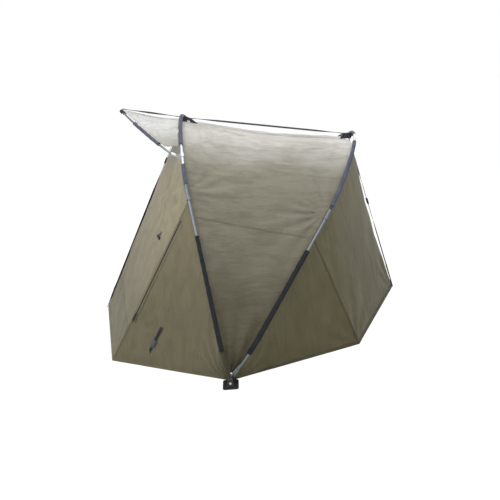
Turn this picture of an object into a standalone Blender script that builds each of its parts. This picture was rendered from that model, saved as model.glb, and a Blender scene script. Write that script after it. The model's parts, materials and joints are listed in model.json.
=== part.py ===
"""Bivvy tent: two arched ribs that fold on ground pivots, a hinged peak rib and a fabric canopy.

Metres, +Z up, the front (door and peak) towards -Y. The origin is on the ground, in the middle of the
tent's length and width. Left means the occupant's left when looking out of the door, which is +X.
Each rib pole is one outline in its own tilted plane, and every tube, sleeve, ferrule, collar and canopy
edge on that rib is swept or placed along it, so they all follow its sizes.
"""

import math

import bmesh
import bpy
from mathutils import Vector

# Overall sizes
front_reach = 0.990  # ground end of the front strap, forward of the pivots
rear_reach = 1.280  # ground end of the rear strap, behind the pivots
pivot_half_width = 1.250
pivot_height = 0.035
rib_side_step = 0.034  # the rear rib stands this far inside the front rib, so that they fold past

# Outline that both main ribs share
bend_height = 0.200
bend_radius = 0.480
leg_tilt_deg = 28.75
knee_height = 1.040
knee_handle = 0.145
crown_handle = 0.290
front_rib_height = 1.410
rear_rib_height = 1.530
front_lean_deg = 10.0
rear_lean_deg = -39.0

# Poles and what is on them
tube_radius = 0.0080
fit_gap = 0.0003
socket_wall = 0.0042
socket_length = 0.076
socket_start = 0.022
ferrule_radius = 0.0112
ferrule_band_radius = 0.0128
ferrule_band_length = 0.010
sleeve_wall = 0.0050
lower_sleeve_top_wall = 0.0042
lower_sleeve_wall = 0.0072
sleeve_seam = 0.0060  # sewn flange that points into the arch and carries the canopy edge
sleeve_end_taper = 0.004

# Stations along the front rib, measured from the pivot
front_lower_sleeve_start = 0.196
front_lower_sleeve_end = 0.878
front_ferrule_start = 1.096
front_ferrule_end = 1.196
front_mid_sleeve_end = 1.356
peak_hinge_station = 1.445
front_top_sleeve_start = 1.549
front_top_sleeve_gap = 0.006  # from the top sleeve's end to the crown block

# Stations along the rear rib
rear_lower_sleeve_start = 0.186
rear_lower_sleeve_end = 0.893
rear_ferrule_start = 1.120
rear_ferrule_end = 1.190
rear_top_sleeve_start = 1.222
rear_top_sleeve_gap = 0.141

# Ground pivots
plate_half_length = 0.046
plate_thickness = 0.008
plate_side_margin = 0.010
plate_corner = 0.012
ear_thickness = 0.006
ear_radius = 0.0175
knuckle_width = 0.022
knuckle_radius = 0.0160
knuckle_gap = 0.003
pin_radius = 0.0040
pin_head_radius = 0.0075
pin_head_length = 0.004

# Crown blocks
block_half_length = 0.058
block_wall = 0.0050
lug_thickness = 0.010
lug_height = 0.0237
lug_half_length = 0.0174
lug_top_shares = (0.55, 0.40)  # half width and rise of the lug's point, of its half length
wing_thickness = 0.016

# Wing of the front crown block, measured back from the tube and down from it
front_wing_top = 0.012
front_wing_face = 0.0127
front_wing_foot = 0.034
front_wing_strap_back = 0.058
front_wing_strap_drop = 0.016
front_wing_length = 0.108
front_wing_tail_drop = 0.058
front_notch_start = 0.032
front_notch_end = 0.053
front_notch_slant = 0.004
front_notch_top = 0.025
front_notch_foot = 0.0395
front_notch_tail_foot = 0.0465

# Wing of the rear crown block, which reaches forward over the ridge
rear_wing_length = 0.069
rear_wing_top = 0.004
rear_wing_depth = 0.035
rear_wing_slant = 0.020  # its ends lean with the rib
rear_wing_fall = 0.006  # its underside drops this much towards the tube
rear_cap_length = 0.011
rear_cap_step = 0.0015
rear_strap_place = 0.030  # the rear strap hangs from the wing this far ahead of the tube

# Peak rib
peak_height = 0.474
peak_lean_deg = 59.1
peak_foot_length = 0.046  # straight foot above the hinge
peak_foot_handle = 0.050
peak_crown_handle = 0.072
peak_tube_radius = 0.0065
peak_pin_reach = 0.030
peak_pin_radius = 0.0030
peak_knuckle_width = 0.014
peak_knuckle_radius = 0.0090
peak_ear_thickness = 0.004
peak_ear_gap = 0.0008
peak_socket_wall = 0.0032
peak_socket_length = 0.042
peak_socket_start = 0.018
bracket_half_length = 0.020
bracket_wall = 0.0040
peak_sleeve_start = 0.164
peak_sleeve_end = 0.523
peak_block_half_length = 0.034
peak_block_wall = 0.0038
peak_canopy_start = 0.110
peak_canopy_front_start = 0.100  # from the hinge, up the front rib
peak_edge_gap = 0.0050  # from the front crown block's flat to the peak sheet's edge
peak_edge_drop = 0.020
peak_neck_share = 0.32
peak_neck_width_share = 0.8

# Canopy
cloth_thickness = 0.0020
seam_gap = 0.0005
canopy_start = 0.084
hem_start = 0.050
front_corner_x = 0.849
front_corner_setback = 0.208  # the hem's corners lie this far behind its middle
front_hem_inset = 0.012  # the hem's middle lies this far inside the strap's ground end
rear_corner_x = 0.862
rear_corner_setback = 0.445
rear_hem_inset = 0.010
front_fold_station = 1.110
rear_fold_station = 0.985
roof_sag = 0.034
front_sag = 0.004
rear_sag = 0.006
peak_sag = 0.012
front_crown_drop = 0.014  # near the crowns the canopy's edge hangs below its seam
rear_crown_drop = 0.045
rear_crown_pull = 0.020  # and is drawn forward
wall_tight_share = 0.33  # and the same for a wall, from its fold
crown_share = 0.1  # the last share of each canopy edge, where it hangs so
roof_tight_share = 0.4  # share of the roof's edge over which its sag grows to the full amount
focus_height = 0.500

# Door, zips and small hardware
door_gap = 0.0010
door_foot_share = 0.790
zip_top_share = 0.110
zip_foot_share = 0.740
zip_width = 0.026
zip_thickness = 0.0016
zip_coil_width = 0.006
zip_coil_height = 0.0012
zip_edge_gap = 0.004
zip_lift = 0.0012
slider_gap = 0.0005
slider_length = 0.026
slider_width = 0.013
slider_height = 0.0070
pull_length = 0.046
pull_width = 0.009
pull_thickness = 0.0022
toggle_length = 0.055
toggle_radius = 0.0070
toggle_loop_length = 0.040
toggle_place_shares = (0.36, 0.33)
clip_place_shares = (0.72, 0.80)
clip_length = 0.052
clip_width = 0.030
clip_thickness = 0.009

# Webbing straps
strap_width = 0.020
strap_thickness = 0.0018
strap_end_length = 0.200
strap_end_width = 0.026
strap_end_thickness = 0.0040
strap_fold_length = 0.034
strap_seat_gap = 0.0011
strap_wing_gap = 0.0050
strap_slope_gap = 0.0034
front_strap_place = 0.006  # the front strap hangs this far ahead of the tube
peak_lug_gap = 0.0060
peak_lug_share = 0.6  # height of the peak strap's end on the lug
peak_seat_gap = 0.0009
buckle_length = 0.042
buckle_width = 0.034
buckle_thickness = 0.011
buckle_wall = 0.0040
front_buckle_share = 0.193
rear_buckle_share = 0.400

# Facets
pole_sides = 10  # one count for tubes and their bores, so that the facets line up
bore_sides = 16
crown_steps = 11
bend_steps = 4
cutter_overrun = 0.002
corner_share = 0.001  # nearer than this to a corner of an outline counts as on it
frame_step_share = 0.01

front_lean = math.radians(front_lean_deg)
rear_lean = math.radians(rear_lean_deg)
leg_tilt = math.radians(leg_tilt_deg)
peak_lean = math.radians(peak_lean_deg)
pivot_y = (front_reach - rear_reach) / 2
front_middle_y = front_reach - front_hem_inset
front_corner_y = front_middle_y - front_corner_setback
rear_middle_y = rear_reach - rear_hem_inset
rear_corner_y = rear_middle_y - rear_corner_setback
sleeve_radius = tube_radius + sleeve_wall
edge_offset = tube_radius + lower_sleeve_wall + sleeve_seam + cloth_thickness + seam_gap
focus = Vector((0, pivot_y + (rear_corner_y - front_corner_y) / 2, focus_height))
sides = (("left", 1), ("right", -1))


def material(name, colour, roughness, metallic=0.0):
    """Return a Principled material of one colour."""
    made = bpy.data.materials.get(name) or bpy.data.materials.new(name)
    made.use_nodes = True
    shader = made.node_tree.nodes["Principled BSDF"]
    shader.inputs["Base Color"].default_value = (*colour, 1.0)
    shader.inputs["Roughness"].default_value = roughness
    shader.inputs["Metallic"].default_value = metallic
    return made


def finishes():
    """Make the materials, one for each slot of the record."""
    return {
        "alloy": material("pole_alloy", (0.62, 0.66, 0.72), 0.32, 1.0),
        "ferrule": material("ferrule_alloy", (0.70, 0.72, 0.76), 0.28, 1.0),
        "steel": material("pin_steel", (0.68, 0.69, 0.70), 0.30, 1.0),
        "slate": material("sleeve_slate", (0.13, 0.14, 0.18), 0.75),
        "black_sleeve": material("sleeve_black", (0.025, 0.035, 0.04), 0.8),
        "olive": material("canopy_olive", (0.27, 0.26, 0.19), 0.8),
        "pale": material("canopy_pale", (0.48, 0.46, 0.40), 0.8),
        "plastic": material("moulding_black", (0.03, 0.03, 0.035), 0.5),
        "grey_plastic": material("clip_grey", (0.22, 0.23, 0.24), 0.5),
        "webbing": material("webbing_black", (0.03, 0.03, 0.03), 0.85),
        "zip": material("zip_black", (0.02, 0.02, 0.02), 0.55),
    }


def solid(name, verts, faces, finish, carrier=None):
    """Make one closed object with its faces outwards, held by the empty of the piece that carries it."""
    shell = bmesh.new()
    made = [shell.verts.new(v) for v in verts]
    for face in faces:
        shell.faces.new([made[i] for i in face])
    bmesh.ops.recalc_face_normals(shell, faces=shell.faces)
    if shell.calc_volume(signed=True) < 0:
        bmesh.ops.reverse_faces(shell, faces=shell.faces)
    data = bpy.data.meshes.new(name)
    shell.to_mesh(data)
    shell.free()
    return add_object(name, data, finish, carrier)


def add_object(name, data, finish, carrier=None):
    """Link a mesh as a named object, smooth shaded with sharp corners."""
    data.shade_smooth()
    data.set_sharp_from_angle(angle=math.radians(35))
    if finish is not None:
        data.materials.append(finish)
    made = bpy.data.objects.new(name, data)
    bpy.context.collection.objects.link(made)
    if carrier is not None:
        made.parent = carrier
        made.location = -carrier.location
    return made


def axis_empty(name, place):
    """Mark a joint axis with an empty that carries the pieces which move on it."""
    made = bpy.data.objects.new(name, None)
    made.location = place
    bpy.context.collection.objects.link(made)
    return made


def hide_tool(made):
    """Keep a cutter or a joined-in shape out of the model."""
    made.hide_render = True
    made.display_type = "WIRE"
    return made


def combine(target, tools, operation):
    """Add live Boolean modifiers, one for each tool."""
    for tool in tools:
        hide_tool(tool)
        step = target.modifiers.new(operation.lower(), "BOOLEAN")
        step.operation = operation
        step.solver = "EXACT"
        step.object = tool
    return target


def frame_along(direction):
    """Return two unit vectors square to a direction and to each other."""
    along = direction.normalized()
    hint = min((Vector((1, 0, 0)), Vector((0, 1, 0))), key=lambda axis: abs(axis.dot(along)))
    side = (hint - along * hint.dot(along)).normalized()
    return side, along.cross(side)


def rod_mesh(start, end, profile, count):
    """Return a turned solid on the line from start to end; profile holds (distance, radius)."""
    along = (end - start).normalized()
    side, up = frame_along(along)
    verts = []
    for distance, radius in profile:
        for k in range(count):
            turn = 2 * math.pi * k / count
            verts.append(start + along * distance + (side * math.cos(turn) + up * math.sin(turn)) * radius)
    return verts, ring_faces(len(profile), count)


def ring_faces(rings, count):
    """Faces of a closed stack of rings with both ends capped."""
    faces = [tuple(range(count))[::-1], tuple(range((rings - 1) * count, rings * count))]
    for r in range(rings - 1):
        for k in range(count):
            a, b = r * count + k, r * count + (k + 1) % count
            faces.append((a, b, b + count, a + count))
    return faces


def rod(name, start, end, profile, count, finish, carrier=None):
    """Make a turned solid object."""
    verts, faces = rod_mesh(start, end, profile, count)
    return solid(name, verts, faces, finish, carrier)


def cylinder(name, centre, direction, radius, length, count, finish=None, carrier=None):
    """Make a plain cylinder about a centre, mostly for bores and bosses."""
    half = direction.normalized() * (length / 2)
    profile = ((0, radius), (length, radius))
    return rod(name, centre - half, centre + half, profile, count, finish, carrier)


def slab(name, centre, axes, halves, finish=None, carrier=None):
    """Make a block from its centre, three unit axes and three half sizes."""
    verts = []
    for sx in (-1, 1):
        for sy in (-1, 1):
            for sz in (-1, 1):
                steps = (sx * halves[0], sy * halves[1], sz * halves[2])
                verts.append(centre + axes[0] * steps[0] + axes[1] * steps[1] + axes[2] * steps[2])
    faces = ((0, 1, 3, 2), (4, 6, 7, 5), (0, 4, 5, 1), (2, 3, 7, 6), (0, 2, 6, 4), (1, 5, 7, 3))
    return solid(name, verts, faces, finish, carrier)


def prism(name, outline, normal, thickness, finish=None, carrier=None):
    """Extrude a flat outline of points by a thickness, half to each side."""
    half = normal.normalized() * (thickness / 2)
    count = len(outline)
    verts = [p - half for p in outline] + [p + half for p in outline]
    faces = [tuple(range(count))[::-1], tuple(range(count, 2 * count))]
    for k in range(count):
        n = (k + 1) % count
        faces.append((k, n, n + count, k + count))
    return solid(name, verts, faces, finish, carrier)


def tab_outline(centre, foot, radius, half_width, steps=10):
    """Outline of an ear: a round head about centre and a straight foot, in the YZ plane."""
    down = (foot - centre).normalized()
    across = Vector((1, 0, 0)).cross(down)
    points = []
    for k in range(steps + 1):
        turn = math.pi * k / steps
        points.append(centre + (across * math.cos(turn) - down * math.sin(turn)) * radius)
    points.append(foot - across * half_width)
    points.append(foot + across * half_width)
    return points


class Pole:
    """An arched pole: a polyline from its foot to its crown in one leaning plane, mirrored about x = 0."""

    def __init__(self, outline, foot, lean, crown_drop=0.0, crown_pull=0.0):
        self.foot = foot
        self.crown_drop = crown_drop
        self.crown_pull = crown_pull
        self.rise = Vector((0, -math.sin(lean), math.cos(lean)))
        self.forward = Vector((0, -math.cos(lean), -math.sin(lean)))
        self.outline = outline
        self.marks = [0.0]
        for a, b in zip(outline, outline[1:]):
            self.marks.append(self.marks[-1] + math.hypot(b[0] - a[0], b[1] - a[1]))
        self.length = self.marks[-1]

    def locate(self, station, side=1):
        """Return the centre line's point, tangent and inward direction; past the crown it mirrors."""
        if station > self.length:
            point, tangent, inward = self.locate(2 * self.length - station, -side)
            return point, -tangent, inward
        k = 1
        while k < len(self.marks) - 1 and self.marks[k] < station:
            k += 1
        a, b = self.outline[k - 1], self.outline[k]
        span = self.marks[k] - self.marks[k - 1]
        t = (station - self.marks[k - 1]) / span
        x, s = a[0] + (b[0] - a[0]) * t, a[1] + (b[1] - a[1]) * t
        dx, ds = self.slope(k, t)
        point = Vector((x * side, self.foot.y, self.foot.z)) + self.rise * s
        tangent = Vector((dx * side, 0, 0)) + self.rise * ds
        inward = Vector((-ds * side, 0, 0)) + self.rise * dx
        return point, tangent.normalized(), inward.normalized()

    def slope(self, k, t):
        """Direction of the outline at a share of segment k, turned evenly at its corners."""
        here = self.segment(k)
        at_end = t > (1 - corner_share)
        if t < corner_share and k > 1:
            other = self.segment(k - 1)
        elif at_end and k < len(self.outline) - 1:
            other = self.segment(k + 1)
        elif at_end:
            other = (here[0], -here[1])
        else:
            other = here
        return here[0] + other[0], here[1] + other[1]

    def segment(self, k):
        """Unit direction of segment k."""
        a, b = self.outline[k - 1], self.outline[k]
        size = math.hypot(b[0] - a[0], b[1] - a[1])
        return (b[0] - a[0]) / size, (b[1] - a[1]) / size

    def free_station(self):
        """Station from which the canopy's edge hangs free of the rib, up to the crown."""
        return self.length - (self.length - canopy_start) * crown_share

    def edge(self, station, side, towards):
        """Canopy edge just inside the pole, a seam's gap to one side of its plane."""
        point, _, inward = self.locate(station, side)
        free = max(0.0, (station - self.free_station()) / (self.length - self.free_station()))
        drop = edge_offset + self.crown_drop * free
        return point + inward * drop + self.forward * (towards * seam_gap + self.crown_pull * free)

    def crown_point(self, back, up):
        """Point in the middle plane, behind and above the centre of the crown."""
        top = self.locate(self.length - fit_gap)[0]
        return Vector((0, top.y + back, top.z + up))

    def stations(self, start, end):
        """Start, end and every corner of the outline between them, over the crown too."""
        corners = self.marks + [2 * self.length - m for m in self.marks]
        inner = sorted({round(m, 7) for m in corners if start + seam_gap < m < end - seam_gap})
        return [start] + inner + [end]

    def sections(self, profile):
        """Fill a profile of (station, radius) with the corners of the outline between its points."""
        full = [profile[0]]
        for (s0, r0), (s1, r1) in zip(profile, profile[1:]):
            for s in self.stations(s0, s1)[1:-1]:
                full.append((s, r0 + (r1 - r0) * (s - s0) / (s1 - s0)))
            full.append((s1, r1))
        return full

    def ring(self, station, radius, side, count, seam=0.0):
        """One ring of points about the pole; the point that faces inward is drawn out by the seam."""
        point, tangent, inward = self.locate(station, side)
        made = []
        for k in range(count):
            turn = 2 * math.pi * k / count
            reach = radius + (seam if k == 0 else 0.0)
            made.append(point + (inward * math.cos(turn) + self.forward * math.sin(turn)) * reach)
        return made

    def rod(self, name, profile, side, finish, carrier, count=pole_sides):
        """Sweep a solid of changing radius along the pole."""
        verts = []
        full = self.sections(profile)
        for station, radius in full:
            verts += self.ring(station, radius, side, count)
        return solid(name, verts, ring_faces(len(full), count), finish, carrier)

    def shell(self, name, profile, bore, side, finish, carrier, seam=0.0, count=pole_sides):
        """Sweep a hollow piece that wraps the pole with a bore of one radius."""
        verts, faces = [], []
        full = self.sections(profile)
        rings = len(full)
        for station, radius in full:
            verts += self.ring(station, radius, side, count, seam)
        for station, radius in full:
            verts += self.ring(station, bore, side, count)
        inner = rings * count
        for r in range(rings - 1):
            for k in range(count):
                a, b = r * count + k, r * count + (k + 1) % count
                faces.append((a, b, b + count, a + count))
                faces.append((inner + a, inner + a + count, inner + b + count, inner + b))
        for k in range(count):
            n = (k + 1) % count
            last = (rings - 1) * count
            faces.append((k, inner + k, inner + n, n))
            faces.append((last + k, last + n, inner + last + n, inner + last + k))
        return solid(name, verts, faces, finish, carrier)


def rib_outline(half_width, height):
    """Outline of a main rib: upright foot, bend, tilted leg, knee and crown."""
    reach = bend_radius * math.tan(leg_tilt / 2)
    points = [(half_width, 0.0)]
    for k in range(bend_steps + 1):
        turn = leg_tilt * k / bend_steps
        drop = bend_radius * (1 - math.cos(turn))
        points.append((half_width - drop, bend_height - reach + bend_radius * math.sin(turn)))
    knee_x = half_width - (knee_height - bend_height) * math.tan(leg_tilt)
    knee = (knee_x, knee_height)
    knee_out = (knee_x - knee_handle * math.sin(leg_tilt), knee_height + knee_handle * math.cos(leg_tilt))
    return points + bezier((knee, knee_out, (crown_handle, height), (0.0, height)), crown_steps)


def bezier(corners, steps):
    """Points of a cubic curve through its four control points."""
    points = []
    for k in range(steps + 1):
        t = k / steps
        weights = ((1 - t) ** 3, 3 * t * (1 - t) ** 2, 3 * t * t * (1 - t), t**3)
        x = sum(weight * corner[0] for weight, corner in zip(weights, corners))
        y = sum(weight * corner[1] for weight, corner in zip(weights, corners))
        points.append((x, y))
    return points


def hood_outline(half_width, height):
    """Outline of the peak rib: an upright foot and one curve in to a rounded point."""
    foot = (half_width, peak_foot_length)
    foot_out = (half_width, peak_foot_length + peak_foot_handle)
    corners = (foot, foot_out, (peak_crown_handle, height), (0.0, height))
    return [(half_width, 0.0)] + bezier(corners, crown_steps)


def make_cloth(name, surface, columns, rows, finish, carrier, keep=None):
    """Thicken a grid of points outwards into one closed sheet; keep may say which cells have cloth."""
    nu, nv = len(columns), len(rows)
    inner = [[surface(u, v) for v in rows] for u in columns]
    outer = [[None] * nv for _ in columns]
    for i in range(nu):
        for j in range(nv):
            across = inner[min(i + 1, nu - 1)][j] - inner[max(i - 1, 0)][j]
            down = inner[i][min(j + 1, nv - 1)] - inner[i][max(j - 1, 0)]
            normal = across.cross(down).normalized()
            if normal.dot(inner[i][j] - focus) < 0:
                normal = -normal
            outer[i][j] = inner[i][j] + normal * cloth_thickness
            if outer[i][j].z < 0:
                outer[i][j].z = 0
    index, verts, faces = {}, [], []

    def corner(i, j, layer):
        if (i, j, layer) not in index:
            index[(i, j, layer)] = len(verts)
            verts.append((inner, outer)[layer][i][j])
        return index[(i, j, layer)]

    cells = {(i, j) for i in range(nu - 1) for j in range(nv - 1) if keep is None or keep(i, j)}
    for i, j in sorted(cells):
        quad = ((i, j), (i + 1, j), (i + 1, j + 1), (i, j + 1))
        # both layers are cut along one diagonal, which mirrors about the middle
        turn = 0 if 2 * i < nu - 1 else 1
        p, q, r, s = quad[turn:] + quad[:turn]
        for a, b, c in ((p, q, r), (p, r, s)):
            faces.append([corner(*a, 0), corner(*b, 0), corner(*c, 0)])
            faces.append([corner(*a, 1), corner(*c, 1), corner(*b, 1)])
        beside = ((i, j - 1), (i + 1, j), (i, j + 1), (i - 1, j))
        for a, b, near in zip(quad, quad[1:] + quad[:1], beside):
            if near not in cells:
                faces.append([corner(*b, 0), corner(*a, 0), corner(*a, 1), corner(*b, 1)])
    return solid(name, verts, faces, finish, carrier)


def mix(a, b, t):
    """Point at share t of the way from a to b."""
    return a + (b - a) * t


def spread(count, start=0.0, end=1.0):
    """Evenly spaced values, both ends included."""
    return [start + (end - start) * k / count for k in range(count + 1)]


class Wall:
    """A canopy wall that hangs from a rib to the ground, folded at a corner and in the middle."""

    def __init__(self, pole, towards, fold_station, corner, middle, sag):
        self.pole = pole
        self.towards = towards
        self.fold_station = fold_station
        self.corner = corner
        self.middle = middle
        self.sag = sag

    def rib_edge(self, u, side):
        """Top edge: u runs 0 to 1 from the foot to the fold, then 1 to 2 from the fold to the crown."""
        if u <= 1:
            station = canopy_start + (self.fold_station - canopy_start) * u
        else:
            station = self.fold_station + (self.pole.length - self.fold_station) * (u - 1)
        return self.pole.edge(station, side, self.towards)

    def hem(self, u, side):
        """Bottom edge on the ground, from beside the pivot to the corner and on to the middle."""
        start = Vector((self.pole.foot.x - edge_offset, pivot_y - self.towards * hem_start, 0))
        if u <= 1:
            point = mix(start, self.corner, u)
        else:
            point = mix(self.corner, self.middle, u - 1)
        return Vector((point.x * side, point.y, point.z))

    def point(self, u, v):
        """Point of the wall; u is -2 to 2 across both sides, v runs 0 at the rib to 1 on the ground."""
        side = 1 if u <= 0 else -1
        w = 2 - abs(u)
        base = mix(self.rib_edge(w, side), self.hem(w, side), v)
        facet = w if w <= 1 else w - 1
        drape = 4 * v * (1 - v)
        if w <= 1:
            drape *= 4 * facet * (1 - facet)
        else:
            drape *= min(1.0, facet / wall_tight_share)
        return base + (focus - base).normalized() * (self.sag * drape)


def build():
    """Clear the scene and make every piece."""
    for old in list(bpy.data.objects):
        bpy.data.objects.remove(old, do_unlink=True)
    look = finishes()
    pivot = Vector((0, pivot_y, pivot_height))
    front = Pole(
        rib_outline(pivot_half_width, front_rib_height),
        Vector((pivot_half_width, pivot_y, pivot_height)),
        front_lean,
        front_crown_drop,
    )
    rear_half_width = pivot_half_width - rib_side_step
    rear = Pole(
        rib_outline(rear_half_width, rear_rib_height),
        Vector((rear_half_width, pivot_y, pivot_height)),
        rear_lean,
        rear_crown_drop,
        rear_crown_pull,
    )
    hinge_point, _, _ = front.locate(peak_hinge_station)
    peak_pin = hinge_point + front.forward * peak_pin_reach
    peak = Pole(hood_outline(peak_pin.x, peak_height), peak_pin, peak_lean)

    front_axis = axis_empty("front_rib_axis", pivot)
    rear_axis = axis_empty("rear_rib_axis", pivot)
    roof_axis = axis_empty("roof_axis", pivot)
    peak_axis = axis_empty("peak_axis", Vector((0, peak_pin.y, peak_pin.z)))
    make_pivots(look, front, rear)
    for side_name, side in sides:
        make_front_rib(look, front, side_name, side, front_axis)
        make_rear_rib(look, rear, side_name, side, rear_axis)
        make_peak_rib(look, front, peak, side_name, side, front_axis, peak_axis)
    joint = (front_ferrule_start + front_ferrule_end) / 2
    make_hoop("front_crown_tube", front, joint, tube_radius, look, front_axis)
    joint = (rear_ferrule_start + rear_ferrule_end) / 2
    make_hoop("rear_crown_tube", rear, joint, tube_radius, look, rear_axis)
    make_hoop("peak_tube", peak, peak_socket_start, peak_tube_radius, look, peak_axis)
    make_crown_block("front_crown_block", look, front, tube_radius, front_wing(front), front_axis)
    make_crown_block("rear_crown_block", look, rear, tube_radius, rear_wing(rear), rear_axis)
    make_crown_block("peak_crown_block", look, peak, peak_tube_radius, peak_lug(peak), peak_axis)
    make_canopy(look, front, rear, peak, front_axis, rear_axis, roof_axis, peak_axis)
    make_straps(look, front, rear, peak, front_axis, rear_axis, peak_axis)


def make_pivots(look, front, rear):
    """Ground blocks: a base plate with three ears and a pin through both rib feet."""
    ear_gap = (rib_side_step - knuckle_width - ear_thickness) / 2
    outer_ear = front.foot.x + knuckle_width / 2 + ear_gap + ear_thickness / 2
    middle_ear = (front.foot.x + rear.foot.x) / 2
    inner_ear = rear.foot.x - knuckle_width / 2 - ear_gap - ear_thickness / 2
    out_x = outer_ear + ear_thickness / 2 + plate_side_margin
    in_x = inner_ear - ear_thickness / 2 - plate_side_margin
    for side_name, side in sides:
        centre = Vector(((out_x + in_x) / 2 * side, pivot_y, plate_thickness / 2))
        outline = rounded_plate(centre, (out_x - in_x) / 2, plate_half_length, plate_corner)
        name = f"pivot_block_{side_name}"
        block = prism(name, outline, Vector((0, 0, 1)), plate_thickness, look["plastic"])
        tools = []
        for n, ear_x in enumerate((outer_ear, middle_ear, inner_ear)):
            head = Vector((ear_x * side, pivot_y, pivot_height))
            foot = Vector((ear_x * side, pivot_y, plate_thickness / 2))
            shape = tab_outline(head, foot, ear_radius, ear_radius + ear_thickness)
            tools.append(prism(f"ear_tool_{side_name}_{n}", shape, Vector((1, 0, 0)), ear_thickness))
        combine(block, tools, "UNION")
        middle = Vector(((outer_ear + inner_ear) / 2 * side, pivot_y, pivot_height))
        across = Vector((1, 0, 0))
        bore = cylinder(
            f"pin_bore_tool_{side_name}", middle, across, pin_radius + fit_gap, out_x - in_x, bore_sides
        )
        combine(block, [bore], "DIFFERENCE")
        reach = (outer_ear - inner_ear) / 2 + ear_thickness / 2 + fit_gap
        start = middle - across * (reach + pin_head_length)
        end = middle + across * (reach + pin_head_length)
        total = (end - start).length
        chamfer = pin_head_length / 4
        profile = (
            (0, pin_head_radius - chamfer),
            (chamfer, pin_head_radius),
            (pin_head_length, pin_head_radius),
            (pin_head_length, pin_radius),
            (total - pin_head_length, pin_radius),
            (total - pin_head_length, pin_head_radius),
            (total - chamfer, pin_head_radius),
            (total, pin_head_radius - chamfer),
        )
        rod(f"pivot_pin_{side_name}", start, end, profile, bore_sides, look["steel"])


def rounded_plate(centre, half_x, half_y, corner, steps=4):
    """Outline of a plate with round corners, in the ground plane."""
    points = []
    for quarter in range(4):
        sx = 1 if quarter in (0, 3) else -1
        sy = 1 if quarter in (0, 1) else -1
        middle = centre + Vector((sx * (half_x - corner), sy * (half_y - corner), 0))
        for k in range(steps + 1):
            turn = math.pi / 2 * (quarter + k / steps)
            points.append(middle + Vector((math.cos(turn), math.sin(turn), 0)) * corner)
    return points


def make_hoop(name, pole, start, radius, look, carrier):
    """Tube that runs over the crown from one side's joint to the other's."""
    profile = ((start + fit_gap, radius), (2 * pole.length - start - fit_gap, radius))
    return pole.rod(name, profile, 1, look["alloy"], carrier)


def make_foot(name, pole, side, look, carrier):
    """Rib foot: a knuckle on the pin with a socket for the leg tube."""
    centre, tangent, _ = pole.locate(0.0, side)
    across = Vector((1, 0, 0))
    foot = cylinder(name, centre, across, knuckle_radius, knuckle_width, bore_sides, look["plastic"], carrier)
    boss = rod(
        f"{name}_boss",
        centre,
        centre + tangent * socket_length,
        ((0, tube_radius + socket_wall), (socket_length, tube_radius + socket_wall)),
        bore_sides,
        None,
    )
    combine(foot, [boss], "UNION")
    mouth = centre + tangent * socket_start
    socket = rod(
        f"{name}_socket",
        mouth,
        centre + tangent * socket_length,
        ((0, tube_radius + fit_gap), (socket_length - socket_start + cutter_overrun, tube_radius + fit_gap)),
        bore_sides,
        None,
    )
    bore = cylinder(f"{name}_bore", centre, across, pin_radius + fit_gap, 2 * knuckle_width, bore_sides)
    return combine(foot, [socket, bore], "DIFFERENCE")


def make_front_rib(look, pole, side_name, side, carrier):
    """Front rib of one side: foot, leg tube, ferrule, crown tube and fabric sleeves."""
    make_foot(f"front_foot_{side_name}", pole, side, look, carrier)
    joint = (front_ferrule_start + front_ferrule_end) / 2
    leg = ((socket_start + fit_gap, tube_radius), (joint - fit_gap, tube_radius))
    pole.rod(f"front_leg_tube_{side_name}", leg, side, look["alloy"], carrier)
    name = f"front_ferrule_{side_name}"
    make_ferrule(name, pole, front_ferrule_start, front_ferrule_end, side, look, carrier)
    sleeve(
        f"front_lower_sleeve_{side_name}",
        pole,
        front_lower_sleeve_start,
        front_lower_sleeve_end,
        (lower_sleeve_wall, lower_sleeve_top_wall),
        side,
        look["black_sleeve"],
        carrier,
    )
    sleeve(
        f"front_mid_sleeve_{side_name}",
        pole,
        front_ferrule_end + seam_gap,
        front_mid_sleeve_end,
        (sleeve_wall, sleeve_wall),
        side,
        look["slate"],
        carrier,
    )
    sleeve(
        f"front_top_sleeve_{side_name}",
        pole,
        front_top_sleeve_start,
        pole.length - block_half_length - front_top_sleeve_gap,
        (sleeve_wall, sleeve_wall),
        side,
        look["slate"],
        carrier,
    )


def make_rear_rib(look, pole, side_name, side, carrier):
    """Rear rib of one side: foot, leg tube, ferrule, crown tube and fabric sleeves."""
    make_foot(f"rear_foot_{side_name}", pole, side, look, carrier)
    joint = (rear_ferrule_start + rear_ferrule_end) / 2
    leg = ((socket_start + fit_gap, tube_radius), (joint - fit_gap, tube_radius))
    pole.rod(f"rear_leg_tube_{side_name}", leg, side, look["alloy"], carrier)
    name = f"rear_ferrule_{side_name}"
    make_ferrule(name, pole, rear_ferrule_start, rear_ferrule_end, side, look, carrier)
    sleeve(
        f"rear_lower_sleeve_{side_name}",
        pole,
        rear_lower_sleeve_start,
        rear_lower_sleeve_end,
        (lower_sleeve_wall, lower_sleeve_wall),
        side,
        look["black_sleeve"],
        carrier,
    )
    sleeve(
        f"rear_top_sleeve_{side_name}",
        pole,
        rear_top_sleeve_start,
        pole.length - block_half_length - rear_top_sleeve_gap,
        (sleeve_wall, sleeve_wall),
        side,
        look["slate"],
        carrier,
    )


def make_ferrule(name, pole, start, end, side, look, carrier):
    """Metal ferrule over the joint of two tubes, with a raised band at each end."""
    band = ferrule_band_length
    profile = (
        (start, ferrule_band_radius),
        (start + band, ferrule_band_radius),
        (start + band + seam_gap, ferrule_radius),
        (end - band - seam_gap, ferrule_radius),
        (end - band, ferrule_band_radius),
        (end, ferrule_band_radius),
    )
    return pole.shell(name, profile, tube_radius + fit_gap, side, look["ferrule"], carrier)


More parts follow.
